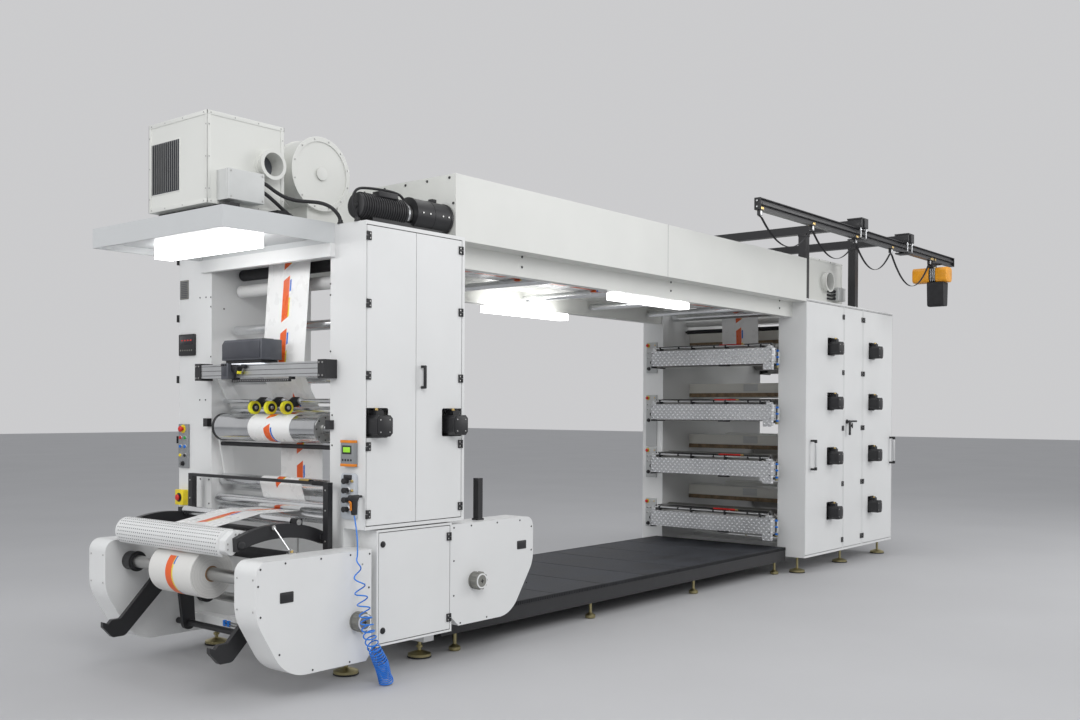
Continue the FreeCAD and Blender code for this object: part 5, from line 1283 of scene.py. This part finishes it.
class PRESS_OT_winder(bpy.types.Operator):
    """Guard holes, strut, wound wire, lower spindle and fittings round the winder"""
    bl_idname = "press.winder"
    bl_label = "Winder"

    def execute(self, context):
        holes = []
        for row in range(10):
            t = math.radians(84 + 15 * row)
            out = (math.cos(t), 0, math.sin(t))
            x, z = GUARD[0] + GUARD[2] * out[0], GUARD[1] + GUARD[2] * out[2]
            holes += [(x, -546 + 22 * k + 11 * (row % 2), z, out) for k in range(47)]
        # Painted shade: each hole is a flat dark disc on the guard, standing for the shade seen through it
        studs("roll_guard_holes", holes, context.scene.press_sizes.hole, 0.4, "hole", taper=1.0, sides=8)
        s = Shape()
        s.rod((-427, -668, 924), (-392, -762, 800), 6, "chrome", 16)
        for place in ((-427, -660, 922), (-390, -768, 792)):
            s.disc(place, FRONT, 14, 11, "steel", 20)
        s.box((-410, -368), (-792, -756), (779, 787), "steel", 2)
        s.box((-398, -382), (-786, -764), (786, 800), "brass", 2)
        for k in range(14):
            s.box((-103.5, -60.5), (-692 + 7 * k, -687.5 + 7 * k), (1143.5, 1168.5), "rubber", 2)
        s.box((-98, -72), (-560, -470), (1166, 1178), "brass", 2)
        s.rod((-86, -590, 1171), (-86, -560, 1171), 5, "rubber", 12)
        for y in (163, 205):
            s.box((-156, -139), (y - 11, y + 11), (212, 250), "hose", 3)
        for z in (222, 240):
            s.rod((-149, 196, z), (-149, -700, z), 4.5, "steel", 12)
        for y, way in ((490, -1), (-689, 1)):
            s.ring((ROLL[0], y, ROLL[1]), (0, way, 0), 63, 50, 10, "plastic", 40)
            s.ring((ROLL[0], y + 9 * way, ROLL[1]), (0, way, 0), 52, 38.6, 8, "rubber", 40)
        for y, way in ((565, FRONT), (-764, FAR)):
            chuck = [(0, 60), (44, 60), (46, 54), (46, 40), (60, 38), (61, 24)]
            s.lathe((SPINDLE[0], y, SPINDLE[1]), way, chuck, "plastic", 40)
        shaft = [(0, 24), (20, 24), (20, 31), (1190, 31), (1190, 24), (1209, 24)]
        s.lathe((SPINDLE[0], -704, SPINDLE[1]), FAR, shaft, "steel", 40)
        for y, way in ((-660, FRONT), (540, FAR)):
            s.lathe((-245, y, 940), way, [(0, 17), (4, 17), (5, 15), (5, 8), (11, 8)], "steel", 20)
            s.lathe((-75, y, 838), way, [(0, 27), (12, 27), (14, 24), (14, 19)], "plastic", 28)
            s.lathe((-640, y, 840), way, [(0, 24), (6, 24), (8, 21), (8, 10)], "plastic", 28)
            s.disc((-427, y, 922), way, 12, 7, "steel", 16)
        s.finish("winder_fittings")
        arm = ((-626, 900), (-603, 886), (-650, 900), (-700, 850), (-700, 820))
        bolts = [(x, -620, z, FRONT) for x, z in arm]
        bolts += grid([-100], (-720, 668), (820, 1000, 1120), AHEAD) + grid([-20], [FACE], (700, 300), FRONT)
        bolts += grid([-757], (-930, -790, 590, 730), (520, 690), AHEAD)
        studs("winder_bolts", bolts, 0.0055, 2.5, "steel")
        return {"FINISHED"}


class PRESS_OT_decks(bpy.types.Operator):
    """Rods, clamps, end plates, valves and fittings of the print decks, and the strips under the dryers"""
    bl_idname = "press.decks"
    bl_label = "Print decks"

    def execute(self, context):
        bolts = []
        for side, name in ((-1, "front_decks"), (1, "rear_decks")):
            s = Shape()

            def at(back):
                return STACK_MIDDLE + side * (STACK_REACH - back)

            def span(a, b):
                return at(a), at(b)

            for i, z in enumerate(DECK_LEVELS):
                s.rod((at(66), -655, z + 126), (at(66), 695, z + 126), 8, "aluminium", 20)
                s.rod((at(118), -655, z + 112), (at(118), 695, z + 112), 6, "steel", 16)
                s.rod((at(150), -640, z + 142), (at(150), 680, z + 142), 5, "rubber", 12)
                for y in (-575, -180, 215, 600):
                    s.box(span(50, 84), (y - 8, y + 8), (z + 62, z + 140), "plastic", 3)
                    s.box(span(84, 126), (y - 6, y + 6), (z + 104, z + 120), "plastic", 2)
                for y in (-430, -40, 380):
                    s.ring((at(66), y, z + 126), FRONT, 13, 8, 16, "plastic", 20)
                y = 60 * (i % 2)
                s.rod((at(150), y - 310, z + 142), (at(150), y - 60, z + 142), 9, "red", 16)
                s.rod((at(150), y - 345, z + 142), (at(150), y - 312, z + 142), 8, "brass", 12)
                for y0, y1 in ((-728, -722), (664, 670)):
                    s.box(span(38, 92), (y0, y1), (z - 60, z + 94), "aluminium", 2)
                for y in (-690, 640):
                    s.box(span(46, 112), (y, y + 46), (z + 92, z + 118), "aluminium", 4, 3)
                    s.lathe((at(60), y + 23, z + 118), UP, [(0, 9), (12, 9), (14, 7)], "steel", 16)
                    s.lathe((at(96), y + 23, z + 118), UP, [(0, 13), (16, 13), (18, 10), (18, 6), (30, 6)],
                            "plastic", 18)
                for dz in (-46, 16):
                    s.box(span(96, 150), (-718, -668), (z + dz, z + dz + 42), "plastic", 4)
                s.box(span(156, 206), (-712, -672), (z - 60, z + 60), "box_grey", 5, 3)
                for dz in (-66, 4, 66):
                    s.lathe((at(120), -718, z + dz), FRONT, [(0, 11), (10, 11), (11, 8), (22, 8)], "hose", 16)
                s.lathe((at(178), -692, z - 100), UP, [(0, 12), (4, 16), (36, 16), (40, 12)], "zinc", 24)
                s.rod((at(120), -690, z - 88), (at(120), -690, z - 46), 12, "rubber", 16)
                s.box(span(6, 58), (-240, -130), (z - 78, z - 60), "plastic", 3)
                s.box(span(48, 60), (-640, 660), (z - 40, z + 60), "panel", 1.5)
                s.box(span(795, 800), (-656, 696), (z + 180, z + 222), "brown", 1)
                s.box(span(795, 800), (-656, 696), (z + 224, z + 324), "cream", 1)
                s.box(span(792, 796), (-150, 20), (z + 240, z + 316), "box_grey", 1)
                s.box(span(240, 262), (-640, 680), (z - 72, z - 56), "steel", 2)
                bolts += grid([at(0)], (-712, 654), (z - 40, z + 74), (side, 0, 0))
                bolts += grid([at(66)], [-728], (z - 44, z + 18, z + 78), FRONT)
            s.finish(name)
        studs("deck_screws", bolts, 0.0055, 2.5, "plastic")
        return {"FINISHED"}


class PRESS_OT_gantry(bpy.types.Operator):
    """Clamps with threaded rods, cable trolleys, the hoist's body and the fan box on the stack"""
    bl_idname = "press.gantry"
    bl_label = "Gantry and hoist"

    def execute(self, context):
        s = Shape()
        for x in GANTRY_X:
            s.box((x - 72, x + 72), (-1462, -1318), (3357, 3434), "black", 4)
            for dx in (-60, 60):
                for dy in (-58, 58):
                    y = RAIL_Y + dy
                    s.rod((x + dx, y, 3262), (x + dx, y, 3448.5), 6.5, "aluminium", 16)
                    for z in (3330, 3436):
                        s.rod((x + dx, y, z), (x + dx, y, z + 10), 12, "aluminium", 6, 1.5)
            s.box((x - 72, x + 72), (-1462, -1318), (3240, 3254), "black", 3)
            for y in GANTRY_Y:
                s.box((x - 68, x + 68), (y - 62, y + 62), (2699, 2709), "black", 2)
                s.box((x - 44, x + 44), (y - 44, y + 44), (3330, 3356), "black", 2)
        for x in ((3863, 3871), (8469, 8475)):
            s.box(x, (-1420, -1360), (3256, 3356), "plastic", 2)
        s.box((3900, 8440), (-1417, -1412), (3300, 3318), "black", 1)
        for x in CABLE_CLIPS:
            s.box((x - 17, x + 17), (-1408, -1372), (3212, 3252), "aluminium", 3)
            for dx in (-12, 12):
                for way in (-1, 1):
                    s.lathe((x + dx, RAIL_Y + 18 * way, 3268), (0, way, 0),
                            [(0, 14), (8, 14), (9, 11), (9, 4)], "brass", 20)
        s.finish("gantry_clamps")
        bolts = [(x + a, y + b, 2709, UP) for x in GANTRY_X for y in GANTRY_Y for a in (-54, 54)
                 for b in (-50, 50)]
        bolts += grid([3863], [RAIL_Y], (3330, 3280), AHEAD)
        studs("gantry_bolts", bolts, 0.009, 6.0, "aluminium", sides=8)

        hoist = Shape()
        outline = rounded_outline(7757, 7943, 3017, 3178, 42)
        hoist.plate(outline, "xz", -1384, -1202, "hoist", 7)
        hoist.plate(outline, "xz", -1578, -1456, "hoist", 7)
        hoist.plate(rounded_outline(7763, 7937, 3023, 3172, 40), "xz", -1460, -1380, "plastic", 3)
        for y in (-1448, -1428, -1408):
            hoist.plate(rounded_outline(7759, 7941, 3019, 3176, 41), "xz", y, y + 8, "aluminium", 2)
        hoist.plate(rounded_outline(7790, 7910, 3050, 3146, 20), "xz", -1202, -1199, "plastic", 1)
        hoist.box((7792, 7908), (-1424, -1356), (3176, 3250), "plastic", 8, 3)
        hoist.ring((7850, -1440, 3212), UP, 60, 44, 12, "rubber", 40)
        hoist.lathe((7850, RAIL_Y, 3178), UP, [(0, 40), (10, 40), (14, 32), (14, 20)], "zinc", 32)
        for x in (7812, 7888):
            for way in (-1, 1):
                hoist.lathe((x, RAIL_Y + 16 * way, 3270), (0, way, 0), [(0, 18), (9, 18), (10, 14), (10, 4)],
                            "brass", 24)
        hoist.box((7772, 7792), (-1379, -1377), (3040, 3050), "rubber", 1)
        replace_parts(hoist.finish("hoist_body"), "hoist")

        fan = Shape()
        fan.ring((6750, -700, 2980), FRONT, 112, 91.6, 5, "warm")
        fan.ring((6750, -640, 2980), FRONT, 112, 95.5, 5, "warm")
        # Painted shade: a flat dark disc behind the rings stands for the shade inside the fan box
        fan.lathe((6750, -596, 2980), FRONT, [(0, 91), (1.5, 91)], "dark_grey")
        for x, z in (((6330, 6354), (2699, 3210)), ((7156, 7180), (2699, 3210)),
                     ((6354, 7156), (2699, 2723)), ((6354, 7156), (3186, 3210))):
            for y in ((-644, -639.5), (-60.5, -56)):
                fan.box(x, y, z, "warm", 1.2)
        bend = ((6925, -672, 0), (6905, -673, -1), (6878, -676, -8), (6852, -674, -12), (6826, -664, -10),
                (6812, -652, -6), (6806, -640, -4))
        for z in (2812, 2850, 2888):
            fan.tube([(x, y, z + dz) for x, y, dz in bend], 10, "rubber")
            fan.lathe((6925, -672, z), AHEAD, [(0, 17), (8, 17), (10, 14), (20, 13)], "plastic", 16)
        fan.finish("fan_box_trims")
        spots = grid((6342, 7168), [-644], (2711, 2950, 3198), FRONT)
        spots += grid((6600, 6880), [-644], [3198], FRONT)
        studs("fan_box_screws", spots, 0.006, 2.0, "plastic")
        return {"FINISHED"}


class PRESS_OT_walkway(bpy.types.Operator):
    """Seams and edge comb of the walkway, pads under the feet, and the doors' outlines on the far side"""
    bl_idname = "press.walkway"
    bl_label = "Walkway and far side"

    def execute(self, context):
        s = Shape()
        for x in range(1430, 5600, 600):
            s.box((x, x + 5), (-757, 757), (249.4, 251), "hole", 0)
        s.box((832, 5653), (-757.5, -752), (246, 252), "rubber", 1.5)
        s.box((1530, 5653), (752, 757.5), (246, 252), "rubber", 1.5)
        s.box((832, 5653), (-758, -755), (214, 222), "black", 1)
        tower_feet = [(x, y) for x in (95, 710) for y in (-680, 650)]
        stack_feet = [(x, y) for x in (5760, 6750, 7740) for y in (-830, 830)]
        for x, y in tower_feet + stack_feet:
            s.ring((x, y, 0), UP, 78, 70, 9, "rubber", 40)
        for x, y in tower_feet:
            s.rod((x, y, 62), (x, y, 78), 22, "zinc", 6, 2)
        for x0, x1, z0, z1, y in (
                (8, 400, 918, 2665, FAR_FACE), (406, 800, 918, 2665, FAR_FACE), (108, 702, 218, 867, 916),
                (5678, 6532, 185, 2672, FAR_FACE), (6558, 7007, 185, 2672, FAR_FACE),
                (7037, 7824, 185, 2672, FAR_FACE)):
            for x, z in (((x0, x0 + 3), (z0, z1)), ((x1 - 3, x1), (z0, z1)),
                         ((x0 + 3, x1 - 3), (z0, z0 + 3)), ((x0 + 3, x1 - 3), (z1 - 3, z1))):
                s.box(x, (y - 1, y + 0.8), z, "seam", 0)
        for x in (5790, 7770):
            s.box((x - 11, x + 11), (996, 1018), (1045, 1285), "aluminium", 9, 4)
            for z in (1014, 1294):
                s.box((x - 12, x + 12), (FAR_FACE, 1019), (z, z + 22), "plastic", 5, 3)
                s.box((x - 12.5, x + 12.5), (994, 1019.5), (z - 3, z + 30), "plastic", 6, 3)
        s.box((442, 460), (976, 994), (1724, 1864), "plastic", 6, 3)
        for z in (1724, 1850):
            s.box((442, 460), (FAR_FACE, 982), (z, z + 14), "plastic", 3)
        for x, heights in ((6.5, TOWER_HINGES), (803.5, TOWER_HINGES), (6534.5, STACK_HINGES),
                           (7034.5, STACK_HINGES)):
            for z in heights:
                s.box((x - 24, x + 24), (FAR_FACE, FAR_FACE + 8), (z - 25, z + 25), "plastic", 1.5)
        s.finish("walkway_and_far_side")
        for name, start, y, count in (("walkway_edge_comb", 842, -758.5, 240),
                                      ("walkway_edge_comb_far", 1540, 758.5, 205)):
            slats(name, (start, y, 236), (5646, y, 236), count, (9, 5, 24), (0.0, 0.0, 0.0), "rubber")
        return {"FINISHED"}


# The floor's half width and its middle, in metres
FLOOR_HALF = 60.0
FLOOR_PLACE = (4.0, 0.7, -0.002)
# Colour and strength of the sky's light, and of the backdrop that the camera and gloss see
SKY_LIGHT = ((0.95, 0.97, 1.0, 1.0), 0.5)
BACKDROP = ((0.60, 0.60, 0.61, 1.0), 1.0)
# Area lamps: name, place and aim in metres, size, power
LAMPS = (
    ("key", (-3.5, -6.5, 6.5), (2.0, 0.5, 1.2), 4.5, 300.0),
    ("front", (-7.5, 1.5, 4.0), (0.0, 0.7, 1.2), 3.5, 160.0),
    ("fill", (9.5, -7.0, 5.0), (5.0, 0.5, 1.5), 5.0, 240.0),
    ("top", (3.5, 0.5, 8.5), (3.5, 0.7, 0.0), 7.0, 185.0),
)
# The camera's place in millimetres, its yaw, pitch and roll in degrees, and its shift
EYE = (-4290, -5796, 1600)
EYE_TURN = (50.65, -0.51, 0.29)
EYE_SHIFT = (-0.0021, 0.0549)


class PRESS_OT_stage(bpy.types.Operator):
    """Floor, light and camera"""
    bl_idname = "press.stage"
    bl_label = "Stage"

    def execute(self, context):
        scene = context.scene
        scene.view_settings.view_transform = "Standard"
        floor = bmesh.new()
        bmesh.ops.create_grid(floor, x_segments=1, y_segments=1, size=FLOOR_HALF)
        data = bpy.data.meshes.new("floor")
        floor.to_mesh(data)
        floor.free()
        ground = bpy.data.objects.new("floor", data)
        scene.collection.objects.link(ground)
        ground.location = FLOOR_PLACE
        finish = Finish("studio_floor")
        speck = finish.noise(0.6, 3.0)
        concrete = finish.shade(speck, (0.50, 0.50, 0.51, 1), (0.53, 0.53, 0.54, 1))
        finish.set(Base_Color=concrete, Roughness=0.75)
        data.materials.append(finish.material)

        world = bpy.data.worlds.new("studio")
        scene.world = world
        world.use_nodes = True
        sky = world.node_tree
        sky.nodes.clear()
        path = add_node(sky, "ShaderNodeLightPath").outputs
        seen = add_node(sky, "ShaderNodeMath", {"operation": "MAXIMUM"},
                        {0: path["Is Camera Ray"], 1: path["Is Glossy Ray"]})
        also = add_node(sky, "ShaderNodeMath", {"operation": "MAXIMUM"},
                        {0: seen.outputs[0], 1: path["Is Transmission Ray"]})
        light, shown = (add_node(sky, "ShaderNodeBackground", None, {"Color": colour, "Strength": strength})
                        for colour, strength in (SKY_LIGHT, BACKDROP))
        mix = add_node(sky, "ShaderNodeMixShader", None,
                       {0: also.outputs[0], 1: light.outputs[0], 2: shown.outputs[0]})
        add_node(sky, "ShaderNodeOutputWorld", None, {"Surface": mix.outputs[0]})

        for name, place, aim, size, power in LAMPS:
            lamp = bpy.data.lights.new(name, "AREA")
            lamp.size = size
            lamp.energy = power
            hung = bpy.data.objects.new(name, lamp)
            scene.collection.objects.link(hung)
            hung.location = place
            hung.rotation_euler = (Vector(aim) - Vector(place)).to_track_quat("-Z", "Y").to_euler()

        yaw, pitch, roll = (math.radians(angle) for angle in EYE_TURN)
        forward = Vector((math.sin(yaw) * math.cos(pitch), math.cos(yaw) * math.cos(pitch), math.sin(pitch)))
        right = Vector((math.cos(yaw), -math.sin(yaw), 0.0))
        upward = right.cross(forward)
        across = right * math.cos(roll) + upward * math.sin(roll)
        upright = upward * math.cos(roll) - right * math.sin(roll)
        lens = bpy.data.cameras.new("camera")
        lens.sensor_width = 36.0
        lens.lens = 36.77
        lens.shift_x, lens.shift_y = EYE_SHIFT
        lens.clip_end = 200.0
        eye = bpy.data.objects.new("camera", lens)
        scene.collection.objects.link(eye)
        turn = Matrix((across, upright, -forward)).transposed().to_4x4()
        eye.matrix_world = Matrix.Translation(mm(*EYE)) @ turn
        scene.camera = eye
        return {"FINISHED"}


OPERATORS = (
    PRESS_OT_stage, PRESS_OT_cords, PRESS_OT_finishes, PRESS_OT_controls, PRESS_OT_hood, PRESS_OT_frames,
    PRESS_OT_camera, PRESS_OT_rollers, PRESS_OT_winder, PRESS_OT_decks, PRESS_OT_gantry, PRESS_OT_walkway,
    PRESS_OT_hinges, PRESS_OT_handles, PRESS_OT_cheeks, PRESS_OT_motors,
)


class PRESS_PT_panel(bpy.types.Panel):
    bl_idname = "PRESS_PT_panel"
    bl_label = "Printing Press"
    bl_space_type = "VIEW_3D"
    bl_region_type = "UI"
    bl_category = "Press"

    def draw(self, context):
        column = self.layout.column()
        for group in (context.scene.press_colours, context.scene.press_sizes):
            for key in group.__annotations__:
                column.prop(group, key)
        for operator in OPERATORS:
            column.operator(operator.bl_idname)


CLASSES = (PressColours, PressSizes, *OPERATORS, PRESS_PT_panel)


def register():
    for cls in CLASSES:
        bpy.utils.register_class(cls)
    bpy.types.Scene.press_colours = bpy.props.PointerProperty(type=PressColours)
    bpy.types.Scene.press_sizes = bpy.props.PointerProperty(type=PressSizes)


def unregister():
    del bpy.types.Scene.press_sizes
    del bpy.types.Scene.press_colours
    for cls in reversed(CLASSES):
        bpy.utils.unregister_class(cls)


def main():
    register()
    for operator in OPERATORS:
        getattr(bpy.ops.press, operator.bl_idname.split(".")[1])()


if __name__ == "__main__":
    main()
